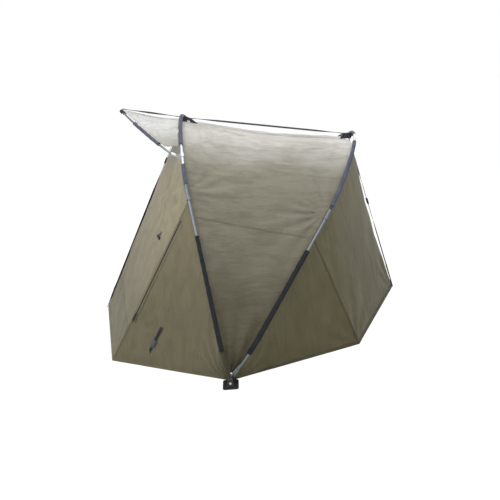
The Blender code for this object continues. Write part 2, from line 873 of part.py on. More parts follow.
def sleeve(name, pole, start, end, walls, side, finish, carrier):
    """Fabric sleeve round a tube, with a sewn flange that reaches to the canopy's edge."""
    low, high = tube_radius + walls[0], tube_radius + walls[1]
    taper = sleeve_end_taper
    profile = (
        (start, low - walls[0] / 3),
        (start + taper, low),
        (end - taper, high),
        (end, high - walls[1] / 3),
    )
    seam = edge_offset - cloth_thickness - seam_gap - low
    return pole.shell(name, profile, tube_radius + fit_gap, side, finish, carrier, seam)


def make_peak_rib(look, front, peak, side_name, side, front_carrier, peak_carrier):
    """Peak rib of one side: hinge bracket on the front rib, pin, knuckle, tube and sleeve."""
    across = Vector((1, 0, 0))
    name = f"peak_bracket_{side_name}"
    low, high = peak_hinge_station - bracket_half_length, peak_hinge_station + bracket_half_length
    radius = tube_radius + bracket_wall
    span = ((low, radius), (high, radius))
    bracket = front.shell(name, span, tube_radius + fit_gap, side, look["plastic"], front_carrier)
    pin = Vector((peak.foot.x * side, peak.foot.y, peak.foot.z))
    hold, _, _ = front.locate(peak_hinge_station, side)
    root = hold + front.forward * (tube_radius + bracket_wall / 2)
    tools = []
    ear_x = peak_knuckle_width / 2 + peak_ear_gap + peak_ear_thickness / 2
    for n, step in enumerate((-ear_x, ear_x)):
        shift = across * step
        shape = tab_outline(pin + shift, root + shift, peak_knuckle_radius, peak_knuckle_radius)
        tools.append(prism(f"{name}_ear_{n}", shape, across, peak_ear_thickness))
    combine(bracket, tools, "UNION")
    width = peak_knuckle_width + 2 * (peak_ear_gap + peak_ear_thickness)
    bore = cylinder(f"{name}_bore", pin, across, peak_pin_radius + fit_gap, 2 * width, bore_sides)
    channel = front.rod(
        f"{name}_channel",
        ((low - bracket_wall, tube_radius + fit_gap), (high + bracket_wall, tube_radius + fit_gap)),
        side,
        None,
        None,
        pole_sides,
    )
    combine(bracket, [bore, channel], "DIFFERENCE")
    reach = width / 2 + fit_gap
    head = pin_head_length / 2
    start, end = pin - across * (reach + head), pin + across * (reach + head)
    total = 2 * (reach + head)
    wide = peak_pin_radius + head
    profile = (
        (0, wide),
        (head, wide),
        (head, peak_pin_radius),
        (total - head, peak_pin_radius),
        (total - head, wide),
        (total, wide),
    )
    rod(f"peak_pin_{side_name}", start, end, profile, bore_sides // 2, look["steel"], front_carrier)

    name = f"peak_knuckle_{side_name}"
    width, finish = peak_knuckle_width, look["plastic"]
    knuckle = cylinder(name, pin, across, peak_knuckle_radius, width, bore_sides, finish, peak_carrier)
    socket_radius = peak_tube_radius + peak_socket_wall
    neck_end = peak_knuckle_radius + peak_ear_gap + socket_radius * peak_neck_share
    span = ((neck_end, socket_radius), (peak_socket_length, socket_radius))
    boss = peak.rod(f"{name}_boss", span, side, None, None, pole_sides)
    neck = slab(
        f"{name}_neck",
        pin + peak.rise * (neck_end / 2 + pin_head_length / 4),
        (peak.rise, across, peak.forward),
        (neck_end / 2 + pin_head_length / 4, width / 2, peak_knuckle_radius * peak_neck_width_share),
    )
    combine(knuckle, [neck, boss], "UNION")
    socket = peak.rod(
        f"{name}_socket",
        (
            (peak_socket_start, peak_tube_radius + fit_gap),
            (peak_socket_length + cutter_overrun, peak_tube_radius + fit_gap),
        ),
        side,
        None,
        None,
        pole_sides,
    )
    bore = cylinder(f"{name}_bore", pin, across, peak_pin_radius + fit_gap, 2 * width, bore_sides)
    combine(knuckle, [socket, bore], "DIFFERENCE")
    full = peak_tube_radius + sleeve_wall
    profile = (
        (peak_sleeve_start, full - sleeve_wall / 3),
        (peak_sleeve_start + sleeve_end_taper, full),
        (peak_sleeve_end - sleeve_end_taper, full),
        (peak_sleeve_end, full - sleeve_wall / 3),
    )
    name = f"peak_sleeve_{side_name}"
    peak.shell(name, profile, peak_tube_radius + fit_gap, side, look["slate"], peak_carrier)


def make_crown_block(name, look, pole, tube, plates, carrier):
    """Moulded block over the crown of a tube, joined to the wings or lug that hold its straps."""
    wall = block_wall if tube == tube_radius else peak_block_wall
    half_length = block_half_length if tube == tube_radius else peak_block_half_length
    radius = tube + wall
    low, high = pole.length - half_length, pole.length + half_length
    profile = (
        (low, radius),
        (low + half_length / 3, radius),
        (low + half_length / 2, radius + wall / 2),
        (high - half_length / 2, radius + wall / 2),
        (high - half_length / 3, radius),
        (high, radius),
    )
    block = pole.shell(name, profile, tube + fit_gap, 1, look["plastic"], carrier)
    across = Vector((1, 0, 0))
    tools = []
    for n, (shape, thickness) in enumerate(plates):
        tools.append(prism(f"{name}_plate_{n}", shape, across, thickness))
    combine(block, tools, "UNION")
    channel = pole.rod(
        f"{name}_channel",
        ((low - wall, tube + fit_gap), (high + wall, tube + fit_gap)),
        1,
        None,
        None,
        pole_sides,
    )
    return combine(block, [channel], "DIFFERENCE")


def front_wing(pole):
    """Plate that slopes from the front crown back along the ridge, notched on its underside."""
    places = (
        (-front_wing_face, 0),
        (0, front_wing_top),
        (front_wing_strap_back, -front_wing_strap_drop),
        (front_wing_length, -front_wing_tail_drop),
        (front_notch_end + front_notch_slant, -front_notch_tail_foot),
        (front_notch_end - front_notch_slant, -front_notch_top),
        (front_notch_start + front_notch_slant, -front_notch_top),
        (front_notch_start, -front_notch_foot),
        (front_notch_slant, -front_wing_foot),
        (-front_wing_face, -front_wing_foot),
    )
    return [([pole.crown_point(back, up) for back, up in places], wing_thickness)]


def rear_wing(pole):
    """Plate that reaches forward from the rear crown, with a raised cap at each leaning end."""
    slant, depth = rear_wing_slant, rear_wing_depth

    def bar(first, last, grow):
        """Leaning bar between two distances ahead of the tube, its faces grown by a little."""
        foot = rear_wing_top - depth
        places = (
            (-first, rear_wing_top + grow),
            (-last, rear_wing_top + grow),
            (-last - slant, foot - grow),
            (-first - slant, foot - rear_wing_fall * (1 - first / rear_wing_length) - grow),
        )
        return [pole.crown_point(back, up) for back, up in places]

    cap, step = rear_cap_length, rear_cap_step
    thick = wing_thickness + 2 * step
    return [
        (bar(0, rear_wing_length, 0), wing_thickness),
        (bar(rear_wing_length - cap, rear_wing_length, step), thick),
        (bar(-cap / 3, cap, step), thick),
    ]


def peak_lug(pole):
    """Pointed ear on the outer side of the peak's crown."""
    half, reach = lug_half_length, pole.forward
    root, head = lug_ends(pole)
    wide, tip = lug_top_shares
    shape = [
        root - reach * half,
        root + reach * half,
        head + reach * (half * wide),
        head + pole.rise * (half * tip),
        head - reach * (half * wide),
    ]
    return [(shape, lug_thickness)]


def lug_ends(pole):
    """Root of the peak's lug in its block's wall, and the middle of its narrow end."""
    root = pole.crown_point(0, 0) + pole.rise * (peak_tube_radius + peak_block_wall / 2)
    return root, root + pole.rise * (lug_height - lug_half_length / 2)


def block_face(tube, wall):
    """Distance from a crown block's centre line to the flats of its thick middle."""
    return (tube + wall * 1.5) * math.cos(math.pi / pole_sides)


def make_canopy(look, front, rear, peak, front_axis, rear_axis, roof_axis, peak_axis):
    """Canopy sheets: roof with its side walls, rear wall, front wall, door and peak."""
    front_wall = Wall(
        front,
        1,
        front_fold_station,
        Vector((front_corner_x, pivot_y - front_corner_y, 0)),
        Vector((0, pivot_y - front_middle_y, 0)),
        front_sag,
    )
    rear_wall = Wall(
        rear,
        -1,
        rear_fold_station,
        Vector((rear_corner_x, pivot_y + rear_corner_y, 0)),
        Vector((0, pivot_y + rear_middle_y, 0)),
        rear_sag,
    )
    free = -(rear.length - rear.free_station()) / (rear.length - rear_fold_station)
    across = spread(7, -2, -1) + spread(8, -1, free)[1:] + [free / 2, 0]
    columns = across + [-u for u in reversed(across[:-1])]
    make_cloth("canopy_rear", rear_wall.point, columns, spread(8), look["olive"], rear_axis)

    def roof_point(u, v):
        side = 1 if u <= 0 else -1
        share = 1 - abs(u)
        a = rear.edge(mix(canopy_start, rear.length, share), side, 1)
        b = front.edge(mix(canopy_start, front.length, share), side, -1)
        base = mix(a, b, v)
        drape = 4 * v * (1 - v) * min(1.0, share / roof_tight_share)
        return base + (focus - base).normalized() * (roof_sag * drape)

    make_cloth("canopy_roof", roof_point, spread(40, -1, 1), spread(7), look["pale"], roof_axis)

    side_columns = spread(7, -2, -1)
    door_columns = spread(12, -1, 1)
    columns = side_columns + door_columns[1:] + [-u for u in reversed(side_columns[:-1])]
    gap_share = door_gap / (front_rib_height * door_foot_share)
    rows = spread(8, 0, door_foot_share - gap_share) + [door_foot_share + gap_share] + [1.0]
    first = len(side_columns) - 1
    last = first + len(door_columns) - 1

    def wall_cell(i, j):
        return i < first or i >= last or j >= len(rows) - 2

    make_cloth("canopy_front", front_wall.point, columns, rows, look["olive"], front_axis, wall_cell)
    inset = door_gap / front_corner_x
    door_columns = spread(24, inset - 1, 1 - inset)
    door_rows = spread(8, 0, door_foot_share - 3 * gap_share)
    make_cloth("door_panel", front_wall.point, door_columns, door_rows, look["olive"], front_axis)

    def peak_point(u, v):
        side = 1 if u <= 0 else -1
        share = 1 - abs(u)
        start = peak_hinge_station + peak_canopy_front_start
        a, _, inward = front.locate(mix(start, front.length, share), side)
        b = peak.locate(mix(peak_canopy_start, peak.length, share), side)[0]
        a += inward * (peak_edge_drop * share)
        a += front.forward * (block_face(tube_radius, block_wall) + peak_edge_gap)
        b -= peak.forward * (block_face(peak_tube_radius, peak_block_wall) + peak_seat_gap)
        base = mix(a, b, v)
        return base - Vector((0, 0, 1)) * (peak_sag * 4 * v * (1 - v) * share)

    make_cloth("canopy_peak", peak_point, spread(24, -1, 1), spread(4), look["pale"], peak_axis)
    make_door_fittings(look, front_wall, front_axis)


def make_door_fittings(look, wall, carrier):
    """Zips with sliders along the door's folds, roll-up toggles and the hem clips."""
    step = zip_width / 2 + zip_edge_gap
    for side_name, side in sides:
        u = -side * (1 + step / (front_fold_station - canopy_start))
        frames = [surface_frame(wall, u, v) for v in spread(6, zip_top_share, zip_foot_share)]
        zip_tape(f"zip_{side_name}", frames, look["zip"], carrier)
        top, foot = frames[0][0], frames[-1][0]
        along = (foot - top).normalized()
        out = (frames[0][3] + frames[-1][3]) / 2
        out = (out - along * out.dot(along)).normalized()
        rise = cloth_thickness + zip_lift + zip_thickness + zip_coil_height + slider_gap
        place = foot - along * slider_length + out * rise
        axis = axis_empty(f"zip_slider_axis_{side_name}", place)
        make_slider(f"zip_slider_{side_name}", place, along, out.cross(along), out, look["steel"], axis)
        make_toggle(f"door_toggle_{side_name}", wall, side, look, carrier)
        make_clip(side_name, wall, side, look, carrier)


def zip_tape(name, frames, finish, carrier):
    """Zip tape that lies on the wall, with a raised run of teeth down its middle."""
    half, tooth = zip_width / 2, zip_coil_width / 2
    low = cloth_thickness + zip_lift
    high = low + zip_thickness
    section = (
        (-half, low),
        (half, low),
        (half, high),
        (tooth, high),
        (tooth * 0.7, high + zip_coil_height),
        (-tooth * 0.7, high + zip_coil_height),
        (-tooth, high),
        (-half, high),
    )
    verts = [point + across * a + out * b for point, _, across, out in frames for a, b in section]
    return solid(name, verts, ring_faces(len(frames), len(section)), finish, carrier)


def make_slider(name, place, along, beside, out, finish, carrier):
    """Zip slider: a waisted body and a pull tab lying along the zip."""
    half, wide, rise = slider_length / 2, slider_width / 2, slider_height
    outline = (
        (-half, wide * 0.65),
        (-half * 0.3, wide),
        (half * 0.4, wide),
        (half, wide * 0.5),
        (half, -wide * 0.5),
        (half * 0.4, -wide),
        (-half * 0.3, -wide),
        (-half, -wide * 0.65),
    )
    base = [place + along * a + beside * b + out * (rise / 2) for a, b in outline]
    body = prism(name, base, out, rise, finish, carrier)
    pull = slab(
        f"{name}_pull",
        place - along * (pull_length / 2 - half * 0.6) + out * (rise - pull_thickness / 4),
        (along, beside, out),
        (pull_length / 2, pull_width / 2, pull_thickness / 2),
    )
    return combine(body, [pull], "UNION")


def surface_frame(wall, u, v):
    """Point on the outer face of a wall with its down, across and outward directions."""
    step = frame_step_share
    point = wall.point(u, v)
    down = (wall.point(u, v + step) - wall.point(u, v - step)).normalized()
    across = wall.point(u + step, v) - wall.point(u - step, v)
    out = down.cross(across).normalized()
    if out.dot(point - focus) < 0:
        out = -out
    return point, down, out.cross(down).normalized(), out


def make_toggle(name, wall, side, look, carrier):
    """Roll-up toggle: a rounded bar held in a webbing loop on the door."""
    u = -(1 - toggle_place_shares[0] / 2) if side > 0 else 1 - toggle_place_shares[0] / 2
    point, down, across, out = surface_frame(wall, u, toggle_place_shares[1])
    place = point + out * (cloth_thickness + seam_gap + toggle_radius)
    half = toggle_length / 2
    bar = rod(
        name,
        place - across * half,
        place + across * half,
        (
            (0, toggle_radius / 2),
            (toggle_radius / 2, toggle_radius),
            (toggle_length - toggle_radius / 2, toggle_radius),
            (toggle_length, toggle_radius / 2),
        ),
        pole_sides,
        look["plastic"],
        carrier,
    )
    loop = slab(
        f"{name}_loop",
        place - down * (toggle_loop_length / 2),
        (down, across, out),
        (toggle_loop_length / 2, toggle_radius, toggle_radius / 3),
    )
    return combine(bar, [loop], "UNION")


def make_clip(side_name, wall, side, look, carrier):
    """Side-release clip of the hem tensioner, flat on the side wall."""
    u = -(1 + (1 - clip_place_shares[0])) if side > 0 else 1 + (1 - clip_place_shares[0])
    point, down, across, out = surface_frame(wall, u, clip_place_shares[1])
    clip = slab(
        f"hem_clip_{side_name}",
        point + out * (cloth_thickness + seam_gap + clip_thickness / 2),
        (down, across, out),
        (clip_length / 2, clip_width / 2, clip_thickness / 2),
        look["grey_plastic"],
        carrier,
    )
    bevel = clip.modifiers.new("bevel", "BEVEL")
    bevel.width = clip_thickness / 4
    bevel.segments = 2
    return clip


def ribbon(name, points, widths, thicknesses, finish, carrier):
    """Flat webbing along a path in the middle plane, its width along X."""
    verts = []
    before = points[:1] + points[:-1]
    after = points[1:] + points[-1:]
    for p, a, b, width, thickness in zip(points, before, after, widths, thicknesses):
        along = (b - a).normalized()
        up = along.cross(Vector((1, 0, 0)))
        half, thick = width / 2, thickness / 2
        for sx, su in ((-1, -1), (1, -1), (1, 1), (-1, 1)):
            verts.append(p + Vector((sx * half, 0, 0)) + up * (su * thick))
    return solid(name, verts, ring_faces(len(points), 4), finish, carrier)


def strap_between(name, a, b, finish, carrier, ground_end=False):
    """Strap from a to b with a folded, thicker end, and a wide doubled end where it meets the ground."""
    total = (b - a).length
    fold = strap_fold_length
    marks = [0.0, fold, fold + sleeve_end_taper]
    widths = [strap_width] * 3
    thick = [strap_end_thickness, strap_end_thickness, strap_thickness]
    if ground_end:
        marks += [total - strap_end_length, total - strap_end_length + sleeve_end_taper, total]
        widths += [strap_width, strap_end_width, strap_end_width]
        thick += [strap_thickness, strap_end_thickness, strap_end_thickness]
    else:
        marks += [total - fold - sleeve_end_taper, total - fold, total]
        widths += [strap_width] * 3
        thick += [strap_thickness, strap_end_thickness, strap_end_thickness]
    points = [mix(a, b, m / total) for m in marks]
    return ribbon(name, points, widths, thick, finish, carrier)


def make_buckle(name, place, along, look, carrier_name):
    """Ladder-lock adjuster: a frame that the strap runs through, free to slide along it."""
    axis = axis_empty(carrier_name, place)
    up = along.cross(Vector((1, 0, 0)))
    body = slab(
        name,
        place,
        (along, Vector((1, 0, 0)), up),
        (buckle_length / 2, buckle_width / 2, buckle_thickness / 2),
        look["plastic"],
        axis,
    )
    slot = slab(
        f"{name}_slot",
        place,
        (along, Vector((1, 0, 0)), up),
        (buckle_length, strap_width / 2 + fit_gap, strap_thickness / 2 + fit_gap),
    )
    window = slab(
        f"{name}_window",
        place + along * (buckle_length / 5),
        (along, Vector((1, 0, 0)), up),
        (buckle_length / 8, strap_width / 2 + fit_gap, buckle_thickness),
    )
    return combine(body, [slot, window], "DIFFERENCE")


def make_straps(look, front, rear, peak, front_axis, rear_axis, peak_axis):
    """Ridge, peak, front and rear straps, with an adjuster on the two that run to the ground."""
    webbing = look["webbing"]
    ridge_front = front.crown_point(front_wing_strap_back + strap_slope_gap, -front_wing_strap_drop)
    ridge_rear = rear.crown_point(-rear_wing_length - strap_wing_gap, rear_wing_top - strap_end_thickness / 2)
    strap_between("ridge_strap", ridge_rear, ridge_front, webbing, rear_axis)

    root, head = lug_ends(peak)
    narrowing = 1 - peak_lug_share * (1 - lug_top_shares[0])
    beside = lug_half_length * narrowing + peak_lug_gap
    lug_back = mix(root, head, peak_lug_share) - peak.forward * beside
    face = block_face(tube_radius, block_wall) + strap_seat_gap
    block_front = front.crown_point(0, 0) + front.forward * face
    strap_between("peak_strap", block_front, lug_back, webbing, front_axis)

    half_length = (front_reach + rear_reach) / 2
    front_end = Vector((0, -half_length + strap_end_thickness, strap_end_thickness))
    rear_end = Vector((0, half_length - strap_end_thickness, strap_end_thickness))
    front_top = front.crown_point(-front_strap_place, -front_wing_foot - strap_seat_gap)
    fall = rear_wing_fall * (1 - (rear_strap_place - rear_wing_slant) / rear_wing_length)
    rear_foot = rear_wing_top - rear_wing_depth - fall
    rear_top = rear.crown_point(-rear_strap_place, rear_foot - strap_seat_gap)
    for name, top, end, share, carrier in (
        ("front", front_top, front_end, front_buckle_share, front_axis),
        ("rear", rear_top, rear_end, rear_buckle_share, rear_axis),
    ):
        strap_between(f"{name}_strap", top, end, webbing, carrier, True)
        along = (end - top).normalized()
        make_buckle(f"{name}_buckle", mix(top, end, share), along, look, f"{name}_buckle_axis")


build()
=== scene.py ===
"""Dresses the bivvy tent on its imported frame: canopy cloth, sleeves, poles, webbing, zips and fittings."""

import json
import logging
import math
from dataclasses import dataclass, field, replace
from enum import Enum
from typing import Callable, Sequence

import bmesh
import bpy
from mathutils import Matrix, Vector, noise


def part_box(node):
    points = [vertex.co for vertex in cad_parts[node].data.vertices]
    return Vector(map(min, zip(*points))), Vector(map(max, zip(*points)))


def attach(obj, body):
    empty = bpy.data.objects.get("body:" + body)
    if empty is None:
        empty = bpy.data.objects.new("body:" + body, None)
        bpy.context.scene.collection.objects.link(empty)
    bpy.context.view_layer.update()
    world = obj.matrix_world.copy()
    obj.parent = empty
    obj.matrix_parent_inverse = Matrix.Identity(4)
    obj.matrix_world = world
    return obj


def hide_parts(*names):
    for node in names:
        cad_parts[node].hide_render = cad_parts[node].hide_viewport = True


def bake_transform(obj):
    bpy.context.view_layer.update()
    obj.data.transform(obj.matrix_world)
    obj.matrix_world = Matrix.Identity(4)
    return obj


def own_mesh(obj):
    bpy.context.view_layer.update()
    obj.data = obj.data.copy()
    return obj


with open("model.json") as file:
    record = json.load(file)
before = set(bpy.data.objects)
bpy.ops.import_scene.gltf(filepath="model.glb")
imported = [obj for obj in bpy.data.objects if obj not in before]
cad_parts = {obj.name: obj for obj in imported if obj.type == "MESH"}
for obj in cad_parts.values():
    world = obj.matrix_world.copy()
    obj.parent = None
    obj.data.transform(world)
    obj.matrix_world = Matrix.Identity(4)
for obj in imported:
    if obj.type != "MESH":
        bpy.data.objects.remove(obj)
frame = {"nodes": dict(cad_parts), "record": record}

LOG = logging.getLogger("bivvy")
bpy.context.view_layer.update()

Colour = tuple[float, float, float, float]
Place = tuple[float, float, float]
Path = Sequence[tuple[float, float]]
Spine = list[tuple[Vector, Vector]]
Surface = Callable[[float, float], Vector]

# The ground pivots' axis
PIVOT_Y = -0.145
PIVOT_Z = 0.035
# Radii of the ribs' tubes and of the hood's
TUBE = 0.008
HOOD_TUBE = 0.0065
# From a rib's centre line in to the canopy's edge, and between two sheets that share a rib
EDGE = 0.0237
SEAM_GAP = 0.0005
# Crown: where the free edge starts, and its share of the rib
CANOPY_START = 0.084
CROWN_SHARE = 0.1
# Peak hinge: its distance along the front rib, and the pin's distance ahead of it
PEAK_HINGE = 1.445
PEAK_PIN_REACH = 0.030
# Where the canopy starts beside the pivot
FOOT_INSET_X = 1.182
EDGE_START = 0.020
# A point inside the tent, which tells outwards from inwards
FOCUS = Vector((0.0, PIVOT_Y + 0.0275, 0.5))
SIDES: tuple[tuple[str, int], ...] = (("left", 1), ("right", -1))


def srgb(red: float, green: float, blue: float) -> Colour:
    """Turn 0 to 255 screen values into the linear colour a shader takes.

    Args:
        red: Screen red.
        green: Screen green.
        blue: Screen blue.

    Returns:
        The linear colour with full alpha.
    """
    made = []
    for value in (red, green, blue):
        share = value / 255
        made.append(share / 12.92 if share <= 0.04045 else ((share + 0.055) / 1.055) ** 2.4)
    return (made[0], made[1], made[2], 1.0)


def shaded(colour: Colour, share: float) -> Colour:
    """The colour made so many times as bright."""
    red, green, blue = (min(1.0, c * share) for c in colour[:3])
    return (red, green, blue, 1.0)


def smooth(value: float) -> float:
    """Ease 0 to 1 with level ends."""
    t = min(1.0, max(0.0, value))
    return t * t * (3 - 2 * t)


def spread(count: int, start: float = 0.0, end: float = 1.0) -> list[float]:
    """Even values from start to end, both included."""
    return [start + (end - start) * k / count for k in range(count + 1)]


def bezier(corners: Path, steps: int) -> list[tuple[float, float]]:
    """Points of a cubic curve through its four control points.

    Args:
        corners: The four control points.
        steps: The number of spans.

    Returns:
        The points, both ends included.
    """
    points = []
    for t in spread(steps):
        weights = ((1 - t) ** 3, 3 * t * (1 - t) ** 2, 3 * t * t * (1 - t), t**3)
        x = sum(w * c[0] for w, c in zip(weights, corners))
        points.append((x, sum(w * c[1] for w, c in zip(weights, corners))))
    return points


def running(points: Sequence[Vector]) -> list[float]:
    """Distance along a line of points, from the first to each.

    Args:
        points: The line's points.

    Returns:
        One distance for each point.
    """
    marks = [0.0]
    for a, b in zip(points, points[1:]):
        marks.append(marks[-1] + (b - a).length)
    return marks


def heading(points: Sequence[Vector], k: int) -> Vector:
    """Way that a line of points runs at one of them, over both its neighbours."""
    return points[min(k + 1, len(points) - 1)] - points[max(k - 1, 0)]


# Shader maths
def fill(tree: bpy.types.NodeTree, socket: bpy.types.NodeSocket, value: object) -> None:
    """Link a socket to the value if that is a socket too, and otherwise set it.

    Args:
        tree: The node tree.
        socket: The input socket.
        value: A socket, a Wave or a plain value.
    """
    if isinstance(value, Wave):
        tree.links.new(value.link, socket)
    elif isinstance(value, bpy.types.NodeSocket):
        tree.links.new(value, socket)
    else:
        socket.default_value = value


class Wave:
    """A shader socket that takes Python arithmetic."""

    def __init__(self, tree: bpy.types.NodeTree, link: bpy.types.NodeSocket) -> None:
        """Keep the tree and the socket."""
        self.tree = tree
        self.link = link

    def _math(self, operation: str, *values: "Wave | float") -> "Wave":
        """Add one Math node.

        Args:
            operation: The node's operation.
            *values: The node's inputs.

        Returns:
            The node's output.
        """
        node = self.tree.nodes.new("ShaderNodeMath")
        node.operation = operation
        for socket, value in zip(node.inputs, values):
            fill(self.tree, socket, value)
        return Wave(self.tree, node.outputs[0])

    def __add__(self, other: "Wave | float") -> "Wave":
        """Sum."""
        return self._math("ADD", self, other)

    def __mul__(self, other: "Wave | float") -> "Wave":
        """Product."""
        return self._math("MULTIPLY", self, other)

    def __sub__(self, other: "Wave | float") -> "Wave":
        """Difference."""
        return self._math("SUBTRACT", self, other)

    def __rsub__(self, other: float) -> "Wave":
        """Difference with the number first."""
        return self._math("SUBTRACT", other, self)

    def __abs__(self) -> "Wave":
        """Size without sign."""
        return self._math("ABSOLUTE", self)

    def power(self, exponent: float) -> "Wave":
        """Raise to a power."""
        return self._math("POWER", self, exponent)

    def sine(self) -> "Wave":
        """Sine of the value in radians."""
        return self._math("SINE", self)

    def clamped(self) -> "Wave":
        """Keep within 0 to 1.

        Returns:
            The kept value.
        """
        made = self._math("ADD", self, 0.0)
        made.link.node.use_clamp = True
        return made

    def step(self, low: float, high: float) -> "Wave":
        """Ease from 0 at low to 1 at high.

        Args:
            low: Where the step starts.
            high: Where it ends.

        Returns:
            The eased value.
        """
        node = self.tree.nodes.new("ShaderNodeMapRange")
        node.interpolation_type = "SMOOTHSTEP"
        for name, value in (("Value", self), ("From Min", low), ("From Max", high)):
            fill(self.tree, node.inputs[name], value)
        return Wave(self.tree, node.outputs["Result"])


class Shader:
    """A material under construction, with its Principled node and helpers for the rest."""

    def __init__(self, name: str) -> None:
        """Start a fresh material of that name.

        Args:
            name: The material's name.
        """
        self.material = bpy.data.materials.new(name)
        self.material.use_nodes = True
        self.tree = self.material.node_tree
        self.bsdf = self.tree.nodes["Principled BSDF"]

    def node(self, kind: str, settings: dict | None = None, **values: object) -> bpy.types.Node:
        """Add a node, set its options and fill or link its sockets.

        Args:
            kind: Blender's node type.
            settings: Options, set before the sockets.
            **values: Socket name, with _ for a space, to a number, colour or socket.

        Returns:
            The node.
        """
        made = self.tree.nodes.new(kind)
        for key, value in (settings or {}).items():
            setattr(made, key, value)
        for key, value in values.items():
            fill(self.tree, made.inputs[key.replace("_", " ")], value)
        return made

    def place(self) -> bpy.types.NodeSocket:
        """Object coordinates."""
        return self.node("ShaderNodeTexCoord").outputs["Object"]

    def scaled(self, source: bpy.types.NodeSocket, scale: Place) -> bpy.types.NodeSocket:
        """Coordinates scaled along each axis."""
        return self.node("ShaderNodeMapping", None, Vector=source, Scale=scale).outputs["Vector"]

    def axis(self, source: bpy.types.NodeSocket, letter: str) -> Wave:
        """One component of a vector."""
        split = self.node("ShaderNodeSeparateXYZ", Vector=source)
        return Wave(self.tree, split.outputs[letter])

    def weave(self, thread: float) -> Wave:
        """Plain weave from 0 to 1, on the piece's own cloth coordinates in metres.

        Args:
            thread: Distance between threads in metres.

        Returns:
            The weave's height.
        """
        flat = self.node("ShaderNodeUVMap", {"uv_map": "cloth"}).outputs["UV"]
        across = (self.axis(flat, "X") * (2 * math.pi / thread)).sine()
        along = (self.axis(flat, "Y") * (2 * math.pi / thread)).sine()
        return (across * along * 0.5 + 0.5).clamped()

    def cloud(
        self, source: bpy.types.NodeSocket, scale: float, detail: float = 3.0, rough: float = 0.55
    ) -> Wave:
        """Soft noise from 0 to 1."""
        values = {"Vector": source, "Scale": scale, "Detail": detail, "Roughness": rough}
        return Wave(self.tree, self.node("ShaderNodeTexNoise", None, **values).outputs["Fac"])

    def blend(self, share: Wave | float, first: object, second: object) -> bpy.types.NodeSocket:
        """Mix two colours by a share.

        Args:
            share: The second colour's share.
            first: The first colour.
            second: The second colour.

        Returns:
            The mixed colour.
        """
        made = self.node("ShaderNodeMix", {"data_type": "RGBA"})
        for place, value in ((0, share), (6, first), (7, second)):
            fill(self.tree, made.inputs[place], value)
        return made.outputs[2]

    def set(self, **values: object) -> None:
        """Fill or link the Principled sockets."""
        for key, value in values.items():
            fill(self.tree, self.bsdf.inputs[key.replace("_", " ")], value)

    def relief(self, height: Wave, depth: float, strength: float = 1.0) -> None:
        """Drive the surface's bump with a height from 0 to 1.

        Args:
            height: The height map.
            depth: Metres from lowest to highest.
            strength: Blender's bump strength.
        """
        bump = self.node("ShaderNodeBump", None, Height=height, Distance=depth, Strength=strength)
        self.set(Normal=bump.outputs["Normal"])


@dataclass(frozen=True)
class ClothFinish:
    """Coated canopy cloth: plain weave, with painted light and shade: paler towards the crown as if lit from
    above, darker lower down.

    The levels are heights: low turns to middle between the first two, and middle to high between the others.
    """

    name: str
    high: Colour
    middle: Colour
    low: Colour
    levels: Colour = (0.25, 1.05, 1.08, 1.40)
    tilt: float = 0.0
    stretch: Place = (1.0, 1.0, 0.20)
    wrinkles: float = 9.0
    roughness: float = 0.62
    thread: float = 0.0011

    def make(self) -> bpy.types.Material:
        """Build the material.

        Returns:
            The material.
        """
        s = Shader(self.name)
        place = s.place()
        # Painted light and shade: with height, leant by tilt, the colour runs from the dark low colour
        # through the middle one to the pale high one
        height = s.axis(place, "Z") + s.axis(place, "Y") * self.tilt + (s.cloud(place, 2.2) - 0.5) * 0.16
        lower = s.blend(height.step(self.levels[0], self.levels[1]), self.low, self.middle)
        tone = s.blend(height.step(self.levels[2], self.levels[3]), lower, self.high)
        blotch = s.cloud(place, 5.0, 5.0, 0.6).step(0.35, 0.75)
        # Random paler dust blotches, laid over the painted light and shade
        dust_and_painted_light = s.blend(blotch * 0.22, tone, shaded(self.middle, 1.18))
        weave = s.weave(self.thread)
        drawn = s.scaled(place, self.stretch)
        wrinkle = 1 - abs(s.cloud(drawn, self.wrinkles, 5.0, 0.62) - 0.5) * 2
        mottle = s.cloud(drawn, 3.0 * self.wrinkles, 3.0).step(0.48, 0.70) * 0.12
        # Weave pattern and random mottle, plus painted shade along the wrinkle creases, darken the cloth
        # towards its low colour
        worn = (weave * 0.06 + wrinkle.step(0.82, 1.0) * 0.16 + mottle).clamped()
        s.set(Base_Color=s.blend(worn, dust_and_painted_light, shaded(self.low, 0.55)))
        s.set(Roughness=s.cloud(place, 9.0) * 0.18 + self.roughness - 0.09)
        s.set(Sheen_Weight=0.12, Sheen_Roughness=0.5, Specular_IOR_Level=0.3)
        s.relief(weave * 0.05 + wrinkle.power(3.0) * 0.7 + s.cloud(place, 26.0, 4.0, 0.6) * 0.3, 0.0070, 0.8)
        return s.material


@dataclass(frozen=True)
class SleeveFinish:
    """Heavy woven sleeve cloth or webbing, with threads that follow the piece."""

    name: str
    colour: Colour
    light: Colour
    thread: float = 0.0016
    roughness: float = 0.72

    def make(self) -> bpy.types.Material:
        """Build the material.

        Returns:
            The material.
        """
        s = Shader(self.name)
        place, weave = s.place(), s.weave(self.thread)
        worn = s.cloud(place, 14.0, 5.0, 0.62).step(0.42, 0.78)
        tone = s.blend((worn * 0.55 + weave * 0.25).clamped(), self.colour, self.light)
        s.set(Base_Color=tone, Roughness=s.cloud(place, 40.0) * 0.16 + self.roughness - 0.08)
        s.set(Sheen_Weight=0.03, Specular_IOR_Level=0.3)
        s.relief(weave * 0.6 + s.cloud(place, 60.0, 3.0) * 0.8, 0.0009, 0.6)
        return s.material


